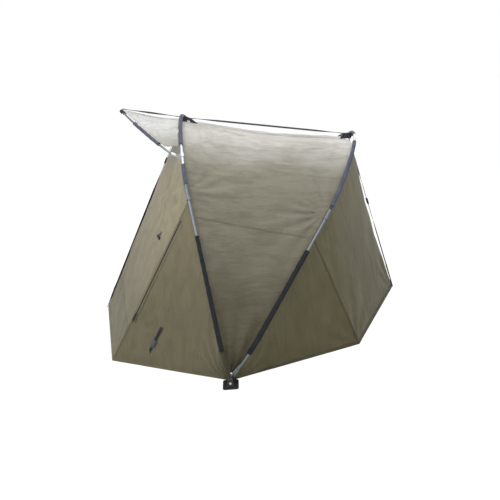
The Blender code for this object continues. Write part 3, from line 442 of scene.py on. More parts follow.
@dataclass(frozen=True)
class AlloyFinish:
    """Drawn or turned alloy with fine lines and faint handling marks, dark beyond its reach from x = 0."""

    name: str
    colour: Colour
    dark: Colour
    roughness: float = 0.3
    turned: bool = False
    reach: float = 9.0

    def make(self) -> bpy.types.Material:
        """Build the material.

        Returns:
            The material.
        """
        s = Shader(self.name)
        place = s.place()
        lines = s.scaled(place, (1.0, 40.0, 4.0) if self.turned else (6.0, 6.0, 1.0))
        grain = s.cloud(lines, 120.0, 4.0, 0.7)
        marks = s.cloud(place, 30.0, 6.0, 0.7).step(0.52, 0.72)
        tone = s.blend((marks * 0.35 + grain * 0.2).clamped(), self.colour, self.dark)
        hidden = abs(s.axis(place, "X")).step(self.reach, self.reach + 0.02)
        tone = s.blend(hidden, tone, shaded(self.dark, 0.12))
        s.set(Base_Color=tone, Metallic=0.85, Roughness=grain * 0.16 + marks * 0.12 + self.roughness - 0.08)
        s.relief(grain, 0.0002, 0.35)
        return s.material


@dataclass(frozen=True)
class MouldingFinish:
    """Moulded plastic: fine spark grain, paler where it is rubbed."""

    name: str
    colour: Colour
    rubbed: Colour
    roughness: float = 0.5

    def make(self) -> bpy.types.Material:
        """Build the material.

        Returns:
            The material.
        """
        s = Shader(self.name)
        place = s.place()
        worn = s.cloud(place, 45.0, 6.0, 0.65).step(0.55, 0.8)
        s.set(Base_Color=s.blend(worn * 0.45, self.colour, self.rubbed))
        s.set(Roughness=s.cloud(place, 70.0) * 0.2 + self.roughness - 0.1, Specular_IOR_Level=0.45)
        s.relief(s.cloud(place, 900.0, 2.0), 0.00015, 0.5)
        return s.material


class Finish(Enum):
    """Every finish of the tent."""

    # Cloth colours from low to high: the paler top is painted light and the darker foot is painted shade
    CANOPY_PALE = ClothFinish(
        "canopy_pale", srgb(226, 223, 218), srgb(134, 130, 114), srgb(84, 79, 58),
        levels=(0.25, 1.00, 1.08, 1.38), tilt=0.18, stretch=(1.0, 0.16, 1.0),
    )
    PEAK_PALE = ClothFinish(
        "peak_pale", srgb(222, 222, 221), srgb(164, 161, 150), srgb(150, 146, 134),
        levels=(0.2, 1.0, 1.24, 1.44),
    )
    CANOPY_OLIVE = ClothFinish("canopy_olive", srgb(200, 196, 178), srgb(126, 119, 94), srgb(105, 100, 75))
    # Painted light: a brighter copy of the canopy olive for the door, which faces the light
    DOOR_OLIVE_LIT = ClothFinish("door_olive_painted_light", srgb(212, 208, 192), srgb(154, 147, 122), srgb(112, 106, 80))
    # Painted shade: a darker copy of the canopy olive for the rear wall, which faces away from the light
    REAR_OLIVE_SHADED = ClothFinish("rear_olive_painted_shade", srgb(176, 172, 150), srgb(114, 109, 85), srgb(92, 86, 59))
    SEAM_OLIVE = SleeveFinish("seam_olive", srgb(112, 108, 90), srgb(126, 122, 104), 0.0010)
    FOLD_OLIVE = SleeveFinish("fold_olive", srgb(76, 73, 54), srgb(90, 87, 68), 0.0010)
    FOOT_CLOTH = SleeveFinish("foot_cloth", srgb(58, 58, 38), srgb(80, 80, 56))
    SLEEVE_SLATE = SleeveFinish("sleeve_slate", srgb(72, 76, 92), srgb(104, 108, 124))
    SLEEVE_BLACK = SleeveFinish("sleeve_black", srgb(10, 14, 17), srgb(28, 34, 42))
    WEBBING_BLACK = SleeveFinish("webbing_black", srgb(30, 31, 32), srgb(62, 63, 64), 0.0022)
    ZIP_BLACK = SleeveFinish("zip_black", srgb(22, 22, 23), srgb(44, 44, 45), 0.0012, 0.6)
    ZIP_TAPE = SleeveFinish("zip_tape", srgb(112, 107, 86), srgb(126, 121, 100), 0.0012, 0.6)
    THREAD = SleeveFinish("seam_thread", srgb(70, 67, 52), srgb(92, 88, 70), 0.0006, 0.6)
    POLE_ALLOY = AlloyFinish("pole_alloy", srgb(124, 129, 137), srgb(76, 81, 90))
    FERRULE_ALLOY = AlloyFinish("ferrule_alloy", srgb(112, 116, 124), srgb(62, 66, 74), 0.42, True)
    # Painted highlight: brighter copies of the pole alloy for the crown tubes and the peak's fittings, which
    # the light from above falls on
    CROWN_ALLOY_LIT = AlloyFinish("crown_painted_highlight", srgb(206, 210, 218), srgb(150, 155, 165))
    REAR_CROWN = AlloyFinish("rear_crown_painted_highlight", srgb(206, 210, 218), srgb(150, 155, 165), reach=0.50)
    SLIDER_DARK = AlloyFinish("slider_dark", srgb(58, 58, 60), srgb(30, 30, 32), 0.45)
    PIN_STEEL = AlloyFinish("pin_steel", srgb(205, 206, 208), srgb(120, 121, 123), 0.28)
    MOULDING_BLACK = MouldingFinish("moulding_black", srgb(40, 41, 45), srgb(84, 85, 88))
    CLIP_GREY = MouldingFinish("clip_grey", srgb(70, 72, 74), srgb(112, 114, 116))


class Wardrobe:
    """Makes each finish once and hands it out."""

    def __init__(self) -> None:
        """Start with nothing made."""
        self.made: dict[Finish, bpy.types.Material] = {}

    def get(self, finish: Finish) -> bpy.types.Material:
        """Return the finish's material, making it the first time.

        Args:
            finish: The finish.

        Returns:
            The material.
        """
        if finish not in self.made:
            self.made[finish] = finish.value.make()
        return self.made[finish]


# Ribs
@dataclass
class Rib:
    """An arched pole: one outline in a leaning plane, with points by distance from its foot."""

    half_width: float
    height: float
    lean_deg: float
    foot: Vector
    bend_height: float = 0.200
    bend_radius: float = 0.480
    leg_tilt_deg: float = 28.75
    knee_height: float = 1.040
    knee_handle: float = 0.145
    crown_handle: float = 0.290
    crown_steps: int = 40
    bend_steps: int = 12
    crown_drop: float = 0.014
    crown_pull: float = 0.0
    tuck_length: float = 0.22
    rise: Vector = field(init=False)
    forward: Vector = field(init=False)
    line: list[tuple[float, float]] = field(init=False)
    marks: list[float] = field(init=False)

    def __post_init__(self) -> None:
        """Work out the plane, the outline and its running length."""
        lean = math.radians(self.lean_deg)
        self.rise = Vector((0, -math.sin(lean), math.cos(lean)))
        self.forward = Vector((0, -math.cos(lean), -math.sin(lean)))
        self.line = self.outline()
        self.marks = [0.0]
        for a, b in zip(self.line, self.line[1:]):
            self.marks.append(self.marks[-1] + math.hypot(b[0] - a[0], b[1] - a[1]))

    @property
    def length(self) -> float:
        """Half the arch, foot to crown."""
        return self.marks[-1]

    def outline(self) -> list[tuple[float, float]]:
        """Points of half the arch: upright foot, bend, tilted leg, knee and crown.

        Returns:
            The points, from the foot to the crown.
        """
        tilt = math.radians(self.leg_tilt_deg)
        reach = self.bend_radius * math.tan(tilt / 2)
        points = [(self.half_width, 0.0)]
        for turn in spread(self.bend_steps, 0.0, tilt):
            drop = self.bend_radius * (1 - math.cos(turn))
            up = self.bend_height - reach + self.bend_radius * math.sin(turn)
            points.append((self.half_width - drop, up))
        knee_x = self.half_width - (self.knee_height - self.bend_height) * math.tan(tilt)
        knee, handle = (knee_x, self.knee_height), self.knee_handle
        out = (knee_x - handle * math.sin(tilt), self.knee_height + handle * math.cos(tilt))
        crown = ((self.crown_handle, self.height), (0.0, self.height))
        return points + bezier((knee, out, *crown), self.crown_steps)

    def at(self, station: float, side: int = 1) -> tuple[Vector, Vector, Vector]:
        """Centre line's point, tangent and inward direction.

        Args:
            station: Distance from the foot; past the crown it runs down the other side.
            side: 1 for the left side, -1 for the right.

        Returns:
            The point, the tangent and the inward direction.
        """
        if station > self.length:
            point, tangent, inward = self.at(2 * self.length - station, -side)
            return point, -tangent, inward
        k = 1
        while k < len(self.marks) - 1 and self.marks[k] < station:
            k += 1
        t = (station - self.marks[k - 1]) / (self.marks[k] - self.marks[k - 1])
        a, b = self.line[k - 1], self.line[k]
        before = self.line[max(k - 2, 0)]
        after = self.line[min(k + 1, len(self.line) - 1)]
        x, s = a[0] + (b[0] - a[0]) * t, a[1] + (b[1] - a[1]) * t
        start, end = (b[0] - before[0], b[1] - before[1]), (after[0] - a[0], after[1] - a[1])
        dx, ds = start[0] + (end[0] - start[0]) * t, start[1] + (end[1] - start[1]) * t
        if k == len(self.line) - 1:
            ds *= 1 - t
        point = Vector((x * side, self.foot.y, self.foot.z)) + self.rise * s
        tangent = Vector((dx * side, 0, 0)) + self.rise * ds
        inward = Vector((-ds * side, 0, 0)) + self.rise * dx
        return point, tangent.normalized(), inward.normalized()

    def edge(self, station: float, side: int, towards: float) -> Vector:
        """Where a canopy edge runs inside the rib: tucked in beside the pivot, and free near the crown.

        Args:
            station: Distance along the rib.
            side: 1 for left, -1 for right.
            towards: 1 for a sheet in front of the rib, -1 for one behind it.

        Returns:
            The place of the edge.
        """
        point, _, inward = self.at(station, side)
        spare = max(0.0, self.half_width - EDGE - FOOT_INSET_X)
        tuck = spare * (1 - smooth(station / self.tuck_length))
        taut = self.length - (self.length - CANOPY_START) * CROWN_SHARE
        free = max(0.0, (station - taut) / (self.length - taut))
        drop = EDGE + tuck + self.crown_drop * free
        return point + inward * drop + self.forward * (towards * SEAM_GAP + self.crown_pull * free)


@dataclass
class Hood(Rib):
    """The small front arch that holds the peak out."""

    foot_length: float = 0.046
    foot_handle: float = 0.050
    tip_handle: float = 0.072

    def outline(self) -> list[tuple[float, float]]:
        """Points of half the hood: a straight foot and one curve in to a rounded point.

        Returns:
            The points, from the foot to the tip.
        """
        foot = (self.half_width, self.foot_length)
        out = (self.half_width, self.foot_length + self.foot_handle)
        corners = (foot, out, (self.tip_handle, self.height), (0.0, self.height))
        return [(self.half_width, 0.0)] + bezier(corners, self.crown_steps)


# Making pieces and tying them to the frame
class Follow(Enum):
    """Which part of the folding frame carries a soft piece."""

    FRONT = "front"
    REAR = "rear"
    ROOF = "roof"
    PEAK = "peak"
    RIDGE = "ridge"


@dataclass
class Maker:
    """Something that makes pieces: it has the ribs and the finishes, and ties each piece to the frame."""

    front: Rib
    rear: Rib
    hood: Hood
    wardrobe: Wardrobe

    def carry(self, piece: bpy.types.Object, follow: Follow, body: str | None = None) -> None:
        """Tie a finished soft piece to its rib or the roof; a peak or ridge piece only has its transform
        baked in.

        Args:
            piece: The mesh object.
            follow: What carries it.
            body: A body of its own to ride on, such as a slider's.
        """
        front, rear = self.front, self.rear
        if follow is Follow.FRONT:
            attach(piece, body or "front_rib")
            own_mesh(piece)
        elif follow is Follow.REAR:
            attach(piece, body or "rear_rib")
            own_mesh(piece)
        elif follow is Follow.ROOF:
            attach(piece, "roof")
            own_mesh(piece)
        elif follow is Follow.PEAK:
            pin = front.at(PEAK_HINGE)[0] + front.forward * PEAK_PIN_REACH
            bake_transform(piece)
        else:
            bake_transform(piece)

    def ready(
        self, made: bpy.types.Object, slot: str, follow: Follow | str, *nodes: str, body: str | None = None
    ) -> None:
        """Hide the CAD nodes that a piece replaces and tie it to the frame.

        Args:
            made: The piece.
            slot: Its slot in the record; not used.
            follow: How it follows if it is soft, or the body that it rides on.
            *nodes: The CAD nodes that it replaces.
            body: A body of its own for a soft piece.
        """
        if nodes:
            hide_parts(*nodes)
        if isinstance(follow, Follow):
            self.carry(made, follow, body)
        else:
            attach(made, follow)
        LOG.info("made %s", made.name)


def place_object(name: str, data: bpy.types.ID) -> bpy.types.Object:
    """Put data into the scene as an object at the origin.

    Args:
        name: The object's name.
        data: Its mesh, lamp or camera.

    Returns:
        The object.
    """
    made = bpy.data.objects.new(name, data)
    bpy.context.collection.objects.link(made)
    return made


def make_piece(
    name: str, verts: Sequence[Vector], faces: Sequence[Sequence[int]], material: bpy.types.Material,
    flat: Path | None = None, sharp_deg: float = 40.0,
) -> bpy.types.Object:
    """Make a mesh object with outward faces, smooth shading and cloth coordinates.

    Args:
        name: The piece's name.
        verts: Its points, in metres.
        faces: Its faces.
        material: Its finish.
        flat: Cloth coordinates of each point, in metres.
        sharp_deg: Corners sharper than this stay crisp.

    Returns:
        The object.
    """
    mesh = bpy.data.meshes.new(name)
    mesh.from_pydata([tuple(v) for v in verts], [], [tuple(f) for f in faces])
    if flat is not None:
        layer = mesh.uv_layers.new(name="cloth")
        index = [0] * len(mesh.loops)
        mesh.loops.foreach_get("vertex_index", index)
        layer.data.foreach_set("uv", [c for i in index for c in flat[i]])
    shell = bmesh.new()
    shell.from_mesh(mesh)
    bmesh.ops.recalc_face_normals(shell, faces=shell.faces)
    if shell.calc_volume(signed=True) < 0:
        bmesh.ops.reverse_faces(shell, faces=shell.faces)
    shell.to_mesh(mesh)
    shell.free()
    mesh.shade_smooth()
    mesh.set_sharp_from_angle(angle=math.radians(sharp_deg))
    mesh.materials.append(material)
    return place_object(name, mesh)


def applied(piece: bpy.types.Object) -> bpy.types.Mesh:
    """The mesh that a piece's modifiers make.

    Args:
        piece: The object.

    Returns:
        A new mesh.
    """
    graph = bpy.context.evaluated_depsgraph_get()
    graph.update()
    return bpy.data.meshes.new_from_object(piece.evaluated_get(graph))


def ring_faces(rings: int, count: int, base: int = 0) -> list[tuple[int, ...]]:
    """Faces of a stack of rings with capped ends.

    Args:
        rings: Number of rings.
        count: Points in a ring.
        base: Index of the first point.

    Returns:
        The faces.
    """
    faces: list[tuple[int, ...]] = []
    for first in range(base, base + (rings - 1) * count, count):
        for k in range(count):
            a, b = first + k, first + (k + 1) % count
            faces.append((a, b, b + count, a + count))
    last = base + (rings - 1) * count
    faces.append(tuple(range(base, base + count))[::-1])
    faces.append(tuple(range(last, last + count)))
    return faces


def sweep(
    name: str, rib: Rib, profile: Path, side: int, material: bpy.types.Material,
    count: int = 24, seam: float = 0.0, ripple: float = 0.0, step: float = 0.02,
) -> bpy.types.Object:
    """Sweep a round piece of changing radius along a rib.

    Args:
        name: The piece's name.
        rib: The rib that it follows.
        profile: Stations and radii.
        side: 1 or -1.
        material: Its finish.
        count: Points round it.
        seam: How far its sewn edge stands inwards.
        ripple: Depth of the gathers in a fabric sleeve.
        step: Longest step along the rib.

    Returns:
        The object.
    """
    stations: list[tuple[float, float]] = [profile[0]]
    for (s0, r0), (s1, r1) in zip(profile, profile[1:]):
        parts = max(1, math.ceil((s1 - s0) / step))
        stations += [(s0 + (s1 - s0) * k / parts, r0 + (r1 - r0) * k / parts) for k in range(1, parts + 1)]
    verts, flat = [], []
    for station, radius in stations:
        point, _, inward = rib.at(station, side)
        for k in range(count):
            turn = 2 * math.pi * k / count
            folded = math.atan2(math.sin(turn), math.cos(turn))
            reach = radius + seam * math.exp(-((folded / 0.30) ** 2))
            if ripple:
                where = Vector((station * 26, 2.2 * math.cos(turn), 2.2 * math.sin(turn) + side))
                reach += ripple * noise.noise(where)
                reach += ripple * 0.6 * math.sin(station * 95 + 2 * math.sin(turn))
            verts.append(point + (inward * math.cos(turn) + rib.forward * math.sin(turn)) * reach)
            flat.append((radius * (folded + math.pi), station))
    return make_piece(name, verts, ring_faces(len(stations), count), material, flat)


# Creases
@dataclass(frozen=True)
class Fan:
    """Creases that spread from a point where the cloth is pulled; their angle is counted from base."""

    place: Place
    reach: float
    depth: float
    waves: float
    phase: float = 0.0
    base: Place = (1.0, 0.0, 0.0)

    def at(self, point: Vector, out: Vector) -> float:
        """Height of the creases at a point of the cloth.

        Args:
            point: The point.
            out: The cloth's outward direction.

        Returns:
            The height in metres.
        """
        arm = point - Vector(self.place)
        far = arm.length
        if far > self.reach * 6 or far < 1e-5:
            return 0.0
        arm -= out * arm.dot(out)
        side = Vector(self.base)
        side = (side - out * side.dot(out)).normalized()
        turn = math.atan2(arm.dot(out.cross(side)), arm.dot(side))
        share = far / self.reach
        wander = 0.14 * noise.noise(point * 3.1)
        return self.depth * share * math.exp(1 - share) * math.sin(self.waves * (turn + wander) + self.phase)


@dataclass(frozen=True)
class Folds:
    """Long shallow folds that run along one direction inside a region."""

    place: Place
    across: Place
    pitch: float
    reach: float
    depth: float

    def at(self, point: Vector, out: Vector) -> float:
        """Height of the folds at a point of the cloth.

        Args:
            point: The point.
            out: The cloth's outward direction.

        Returns:
            The height in metres.
        """
        arm = point - Vector(self.place)
        fade = math.exp(-((arm.length / self.reach) ** 2))
        if fade < 0.01:
            return 0.0
        along = arm.dot(Vector(self.across)) + 0.03 * noise.noise(point * 2.3)
        return self.depth * fade * math.sin(2 * math.pi * along / self.pitch)


@dataclass(frozen=True)
class Crumple:
    """Uneven wrinkles, longer along one direction, inside a region."""

    place: Place
    along: Place
    long: float
    short: float
    reach: float
    depth: float
    crisp: float = 0.5

    def at(self, point: Vector, out: Vector) -> float:
        """Height of the wrinkles at a point of the cloth.

        Args:
            point: The point.
            out: The cloth's outward direction.

        Returns:
            The height in metres.
        """
        arm = point - Vector(self.place)
        fade = math.exp(-((arm.length / self.reach) ** 2))
        if fade < 0.01:
            return 0.0
        run = Vector(self.along).normalized()
        side = out.cross(run).normalized()
        where = Vector((arm.dot(run) / self.long, arm.dot(side) / self.short, self.depth * 900))
        soft = noise.noise(where)
        ridge = 0.35 - abs(noise.noise(where + Vector((7.3, 1.9, 4.1))))
        return self.depth * fade * (soft * (1 - self.crisp) + ridge * self.crisp) * 2


Crease = Fan | Folds | Crumple


def spot(x: float, back: float, z: float) -> Place:
    """A place so far behind the pivots' line."""
    return (x, PIVOT_Y + back, z)


def both_sides(*creases: Crease) -> list[Crease]:
    """The creases of the left side, then the same ones mirrored to the right.

    Args:
        *creases: The left side's creases.

    Returns:
        The creases of both sides.
    """
    made: list[Crease] = []
    for _, side in SIDES:
        for crease in creases:
            parts = {key: getattr(crease, key) for key in ("place", "along") if hasattr(crease, key)}
            made.append(replace(crease, **{key: (at[0] * side, at[1], at[2]) for key, at in parts.items()}))
    return made


RIDGE_WAY = (0.0, 1.0, 0.0)

# Pulls at the pivots, the ground corners, the knees, the toggles and the hem clips, and loose cloth between
FRONT_CREASES = both_sides(
    Fan(spot(1.19, -0.01, 0.02), 0.16, 0.0045, 15.0, 0.6),
    Fan(spot(0.85, -0.77, 0.0), 0.12, 0.0035, 9.0, 1.1),
    Fan(spot(0.79, -0.18, 1.05), 0.11, 0.0035, 9.0, 0.2),
    Fan(spot(0.56, -0.30, 0.94), 0.10, 0.0060, 9.0, 2.0),
    Fan(spot(0.87, -0.57, 0.24), 0.06, 0.0035, 7.0, 0.4),
    Crumple(spot(0.93, -0.28, 0.50), (0.35, 0.3, 0.9), 0.30, 0.07, 0.42, 0.0032),
    Crumple(spot(0.72, -0.42, 0.85), (0.5, 0.1, 0.8), 0.22, 0.05, 0.26, 0.0034),
) + [
    Fan(spot(0.0, -0.99, 0.0), 0.14, 0.0040, 11.0, 0.9),
    Folds(spot(0.0, -0.75, 0.45), (0.9, 0.0, 0.43), 0.21, 0.5, 0.0035),
]

# Pulls at the rear middle, below the crown, and at the rear corners, pivots and knees
REAR_CREASES = [
    Fan(spot(0.0, 1.28, 0.0), 0.15, 0.0060, 13.0, 0.3),
    Fan(spot(0.0, 0.97, 1.20), 0.16, 0.0040, 9.0, 0.8),
    *both_sides(
        Fan(spot(0.862, 0.825, 0.0), 0.14, 0.0055, 11.0, 1.7),
        Fan(spot(1.19, 0.01, 0.02), 0.14, 0.0040, 13.0, 0.1),
        Fan(spot(0.87, 0.56, 0.73), 0.10, 0.0035, 9.0, 0.5),
    ),
    Folds(spot(0.0, 1.10, 0.55), (0.8, 0.0, 0.6), 0.24, 0.45, 0.0040),
]

# Pulls from the crown blocks, the knees and the pivots, and soft waves that run beside the ridge
ROOF_CREASES = [
    Fan(spot(0.0, 0.95, 1.23), 0.30, 0.0045, 19.0, 0.4, RIDGE_WAY),
    Fan(spot(0.0, -0.18, 1.43), 0.24, 0.0060, 31.0, 1.3, RIDGE_WAY),
    Crumple(spot(0.0, 0.35, 1.34), (0.0, 1.0, -0.15), 0.45, 0.050, 0.60, 0.0040),
    *both_sides(
        Crumple(spot(0.42, 0.38, 1.14), (0.1, 1.0, -0.05), 0.42, 0.070, 0.55, 0.0085, 0.35),
        Crumple(spot(0.30, 0.40, 1.25), (0.1, 1.0, -0.15), 0.30, 0.030, 0.45, 0.0030, 0.6),
        Fan(spot(0.74, 0.64, 0.86), 0.11, 0.0070, 15.0, 0.8, RIDGE_WAY),
        Fan(spot(0.79, -0.19, 1.06), 0.13, 0.0045, 13.0, 0.1, RIDGE_WAY),
        Fan(spot(1.19, 0.0, 0.03), 0.17, 0.0045, 17.0, 0.0, RIDGE_WAY),
    ),
]

# Pulls at the peak's point and its hinges
PEAK_CREASES = [
    Fan(spot(0.0, -0.62, 1.46), 0.12, 0.0030, 11.0, 0.4),
    *both_sides(Fan(spot(0.57, -0.25, 1.24), 0.10, 0.0028, 9.0, 1.0)),
]


# Cloth on its own two directions
@dataclass(frozen=True)
class Seat:
    """A place on the cloth with its own three directions."""

    centre: Vector
    along: Vector
    beside: Vector
    out: Vector

    def raised(self, height: float) -> "Seat":
        """The same place so far above the cloth."""
        return replace(self, centre=self.centre + self.out * height)

    def at(self, along: float, beside: float, out: float) -> Vector:
        """A point by its distances along the three directions."""
        return self.centre + self.along * along + self.beside * beside + self.out * out


@dataclass
class Sheet:
    """One panel of canopy cloth on a grid of its own two directions."""

    name: str
    surface: Surface
    finish: Finish
    creases: Sequence[Crease] = ()
    slack: float = 0.0022
    thickness: float = 0.0012
    lift: float = 0.0004
    calm: float = 0.0
    span: float = 0.004
    step: float = 0.006

    def out(self, u: float, v: float) -> Vector:
        """Outward direction of the undisturbed cloth.

        Args:
            u: Place across the sheet.
            v: Place down the sheet.

        Returns:
            The unit direction.
        """
        across = self.surface(u + self.span, v) - self.surface(u - self.span, v)
        down = self.surface(u, v + self.span) - self.surface(u, v - self.span)
        made = across.cross(down)
        made = made.normalized() if made.length > 1e-9 else Vector((0, 0, 1))
        return made if made.dot(self.surface(u, v) - FOCUS) > 0 else -made

    def point(self, u: float, v: float, rise: float = 0.0) -> Vector:
        """Point of the creased cloth, raised above its inner face.

        Args:
            u: Place across the sheet.
            v: Place down the sheet.
            rise: Height above the inner face.

        Returns:
            The point.
        """
        base = self.surface(u, v)
        out = self.out(u, v)
        fade = smooth(min(v, 1 - v) * 9) if 0 <= v <= 1 else 0.0
        if self.calm:
            fade *= smooth((abs(abs(u) - self.calm) - 0.02) / 0.10)
        height = self.slack * noise.noise(base * 4.3) + self.slack * 0.6 * noise.noise(base * 11.0)
        height += sum(crease.at(base, out) for crease in self.creases)
        return base + out * (height * fade + self.lift + rise)

    def seat(self, u: float, v: float, rise: float = 0.0) -> Seat:
        """Place on the cloth's outer face, with its down, across and outward directions.

        Args:
            u: Place across the sheet.
            v: Place down the sheet.
            rise: Height above the outer face.

        Returns:
            The seat.
        """
        point = self.point(u, v, self.thickness + rise)
        down = (self.surface(u, v + self.step) - self.surface(u, v - self.step)).normalized()
        out = self.out(u, v)
        return Seat(point, down, out.cross(down).normalized(), out)

    def make(
        self, wardrobe: Wardrobe, columns: Sequence[float], rows: Sequence[float],
        keep: Callable[[float, float], bool] | None = None,
    ) -> tuple[bpy.types.Object, float, tuple[float, float]]:
        """Build the panel as a thin closed sheet.

        Args:
            wardrobe: Where the finish comes from.
            columns: Values of u.
            rows: Values of v.
            keep: Whether a cell whose middle is at (u, v) has cloth.

        Returns:
            The object, its cloth area and its flat width and length.
        """
        inner = [[self.point(u, v) for v in rows] for u in columns]
        outer = [
            [p + self.out(u, v) * self.thickness for p, v in zip(line, rows)]
            for line, u in zip(inner, columns)
        ]
        for line in inner + outer:
            for p in line:
                p.z = max(p.z, 0.0)
        width = running([line[len(rows) // 2] for line in inner])
        drop = running(inner[len(columns) // 2])
        cells = {
            (i, j)
            for i in range(len(columns) - 1)
            for j in range(len(rows) - 1)
            if keep is None or keep((columns[i] + columns[i + 1]) / 2, (rows[j] + rows[j + 1]) / 2)
        }
        index: dict[tuple[int, int, int], int] = {}
        verts: list[Vector] = []
        flat: list[tuple[float, float]] = []
        faces: list[list[int]] = []

        def corner(i: int, j: int, layer: int) -> int:
            """Index of a grid point on one face of the cloth."""
            key = (i, j, layer)
            if key not in index:
                index[key] = len(verts)
                verts.append((inner, outer)[layer][i][j])
                flat.append((width[i], drop[j]))
            return index[key]

        area = 0.0
        for i, j in sorted(cells):
            quad = ((i, j), (i + 1, j), (i + 1, j + 1), (i, j + 1))
            faces.append([corner(a, b, 0) for a, b in quad])
            faces.append([corner(a, b, 1) for a, b in reversed(quad)])
            p = [inner[a][b] for a, b in quad]
            area += ((p[1] - p[0]).cross(p[2] - p[0]).length + (p[2] - p[0]).cross(p[3] - p[0]).length) / 2
            beside = ((i, j - 1), (i + 1, j), (i, j + 1), (i - 1, j))
            for (a, b), near in zip(zip(quad, quad[1:] + quad[:1]), beside):
                if near not in cells:
                    faces.append([corner(*b, 0), corner(*a, 0), corner(*a, 1), corner(*b, 1)])
        made = make_piece(self.name, verts, faces, wardrobe.get(self.finish), flat, 75.0)
        reach = max(area / drop[-1], min(width[-1], area / (0.35 * drop[-1])))
        return made, area, (reach, drop[-1])

    def tape(
        self, name: str, path: Path, width: float, material: bpy.types.Material,
        height: float = 0.0007, rise: float = 0.0003,
    ) -> tuple[bpy.types.Object, Spine]:
        """Lay a sewn tape on the cloth along a path.

        Args:
            name: The piece's name.
            path: Places (u, v) along it.
            width: Its width.
            material: Its finish.
            height: Its thickness.
            rise: Its gap to the cloth.

        Returns:
            The object, and the points and outward directions of its middle line.
        """
        seats = [self.seat(u, v, rise) for u, v in path]
        points = [seat.centre for seat in seats]
        verts, flat = [], []
        section = ((-1, 0.0), (1, 0.0), (1, 0.6), (0.86, 1.0), (-0.86, 1.0), (-1, 0.6))
        for k, run in enumerate(running(points)):
            out = seats[k].out
            ahead = heading(points, k)
            ahead = (ahead - out * ahead.dot(out)).normalized()
            beside = out.cross(ahead)
            for a, b in section:
                q = points[k] + beside * (a * width / 2) + out * (b * height)
                q.z = max(q.z, 0.0)
                verts.append(q)
                flat.append((a * width / 2 + width, run))
        made = make_piece(name, verts, ring_faces(len(seats), len(section)), material, flat)
        return made, [(seat.centre + seat.out * height, seat.out) for seat in seats]


# Repeated small shapes
class Shape(Enum):
    """What is repeated along a path."""

    STITCH = "stitch"
    TOOTH = "tooth"


@dataclass
class EvenRepeat:
    """Geometry Nodes tree that sets one small solid at even steps along paths."""

    shape: Shape

    def tree(self) -> bpy.types.NodeTree:
        """Build the tree, with its sizes as named inputs.

        Returns:
            The node tree.
        """
        tree = bpy.data.node_groups.new(f"even_{self.shape.value}", "GeometryNodeTree")
        face = tree.interface
        face.new_socket("Geometry", in_out="INPUT", socket_type="NodeSocketGeometry")
        for name, value in (("Pitch", 0.006), ("Length", 0.004), ("Width", 0.0009), ("Height", 0.0006)):
            socket = face.new_socket(name, in_out="INPUT", socket_type="NodeSocketFloat")
            socket.default_value = value
        face.new_socket("Finish", in_out="INPUT", socket_type="NodeSocketMaterial")
        face.new_socket("Geometry", in_out="OUTPUT", socket_type="NodeSocketGeometry")
        new, link = tree.nodes.new, tree.links.new
        start, end = new("NodeGroupInput"), new("NodeGroupOutput")
        curve, even = new("GeometryNodeMeshToCurve"), new("GeometryNodeResampleCurve")
        even.mode = "LENGTH"
        link(start.outputs["Geometry"], curve.inputs["Mesh"])
        link(curve.outputs["Curve"], even.inputs["Curve"])
        link(start.outputs["Pitch"], even.inputs["Length"])
        out = new("GeometryNodeInputNamedAttribute")
        out.data_type = "FLOAT_VECTOR"
        out.inputs["Name"].default_value = "out"
        turn = new("FunctionNodeAxesToRotation")
        turn.primary_axis, turn.secondary_axis = "Z", "X"
        link(out.outputs["Attribute"], turn.inputs["Primary Axis"])
        link(new("GeometryNodeInputTangent").outputs["Tangent"], turn.inputs["Secondary Axis"])
        if self.shape is Shape.STITCH:
            solid = new("GeometryNodeMeshIcoSphere")
            solid.inputs["Radius"].default_value = 0.5
            solid.inputs["Subdivisions"].default_value = 1
        else:
            solid = new("GeometryNodeMeshCube")
        size = new("ShaderNodeCombineXYZ")
        for socket, name in zip(size.inputs, ("Length", "Width", "Height")):
            link(start.outputs[name], socket)
        put = new("GeometryNodeInstanceOnPoints")
        link(even.outputs["Curve"], put.inputs["Points"])
        link(solid.outputs["Mesh"], put.inputs["Instance"])
        link(turn.outputs["Rotation"], put.inputs["Rotation"])
        link(size.outputs["Vector"], put.inputs["Scale"])
        real, dress = new("GeometryNodeRealizeInstances"), new("GeometryNodeSetMaterial")
        link(put.outputs["Instances"], real.inputs["Geometry"])
        link(real.outputs["Geometry"], dress.inputs["Geometry"])
        link(start.outputs["Finish"], dress.inputs["Material"])
        link(dress.outputs["Geometry"], end.inputs["Geometry"])
        return tree

    def make(
        self, name: str, paths: Sequence[Spine], material: bpy.types.Material, pitch: float, size: Place
    ) -> bpy.types.Object:
        """Run the tree on some paths and keep the result as a plain mesh.

        Args:
            name: The piece's name.
            paths: Lines of points with their outward directions.
            material: The finish.
            pitch: Distance from one solid to the next.
            size: Length, width and height of one solid.

        Returns:
            The object.
        """
        verts, edges, outs = [], [], []
        for path in paths:
            base = len(verts)
            verts += [tuple(p) for p, _ in path]
            outs += [c for _, o in path for c in o]
            edges += [(base + k, base + k + 1) for k in range(len(path) - 1)]
        mesh = bpy.data.meshes.new(f"{name}_path")
        mesh.from_pydata(verts, edges, [])
        mesh.attributes.new("out", "FLOAT_VECTOR", "POINT").data.foreach_set("vector", outs)
        guide = place_object(f"{name}_path", mesh)
        step = guide.modifiers.new("repeat", "NODES")
        step.node_group = self.tree()
        values = {"Pitch": pitch, "Length": size[0], "Width": size[1], "Height": size[2], "Finish": material}
        for item in step.node_group.interface.items_tree:
            if item.in_out == "INPUT" and item.name in values:
                step[item.identifier] = values[item.name]
        solid = applied(guide)
        solid.name = name
        bpy.data.objects.remove(guide, do_unlink=True)
        if not solid.materials:
            solid.materials.append(material)
        return place_object(name, solid)


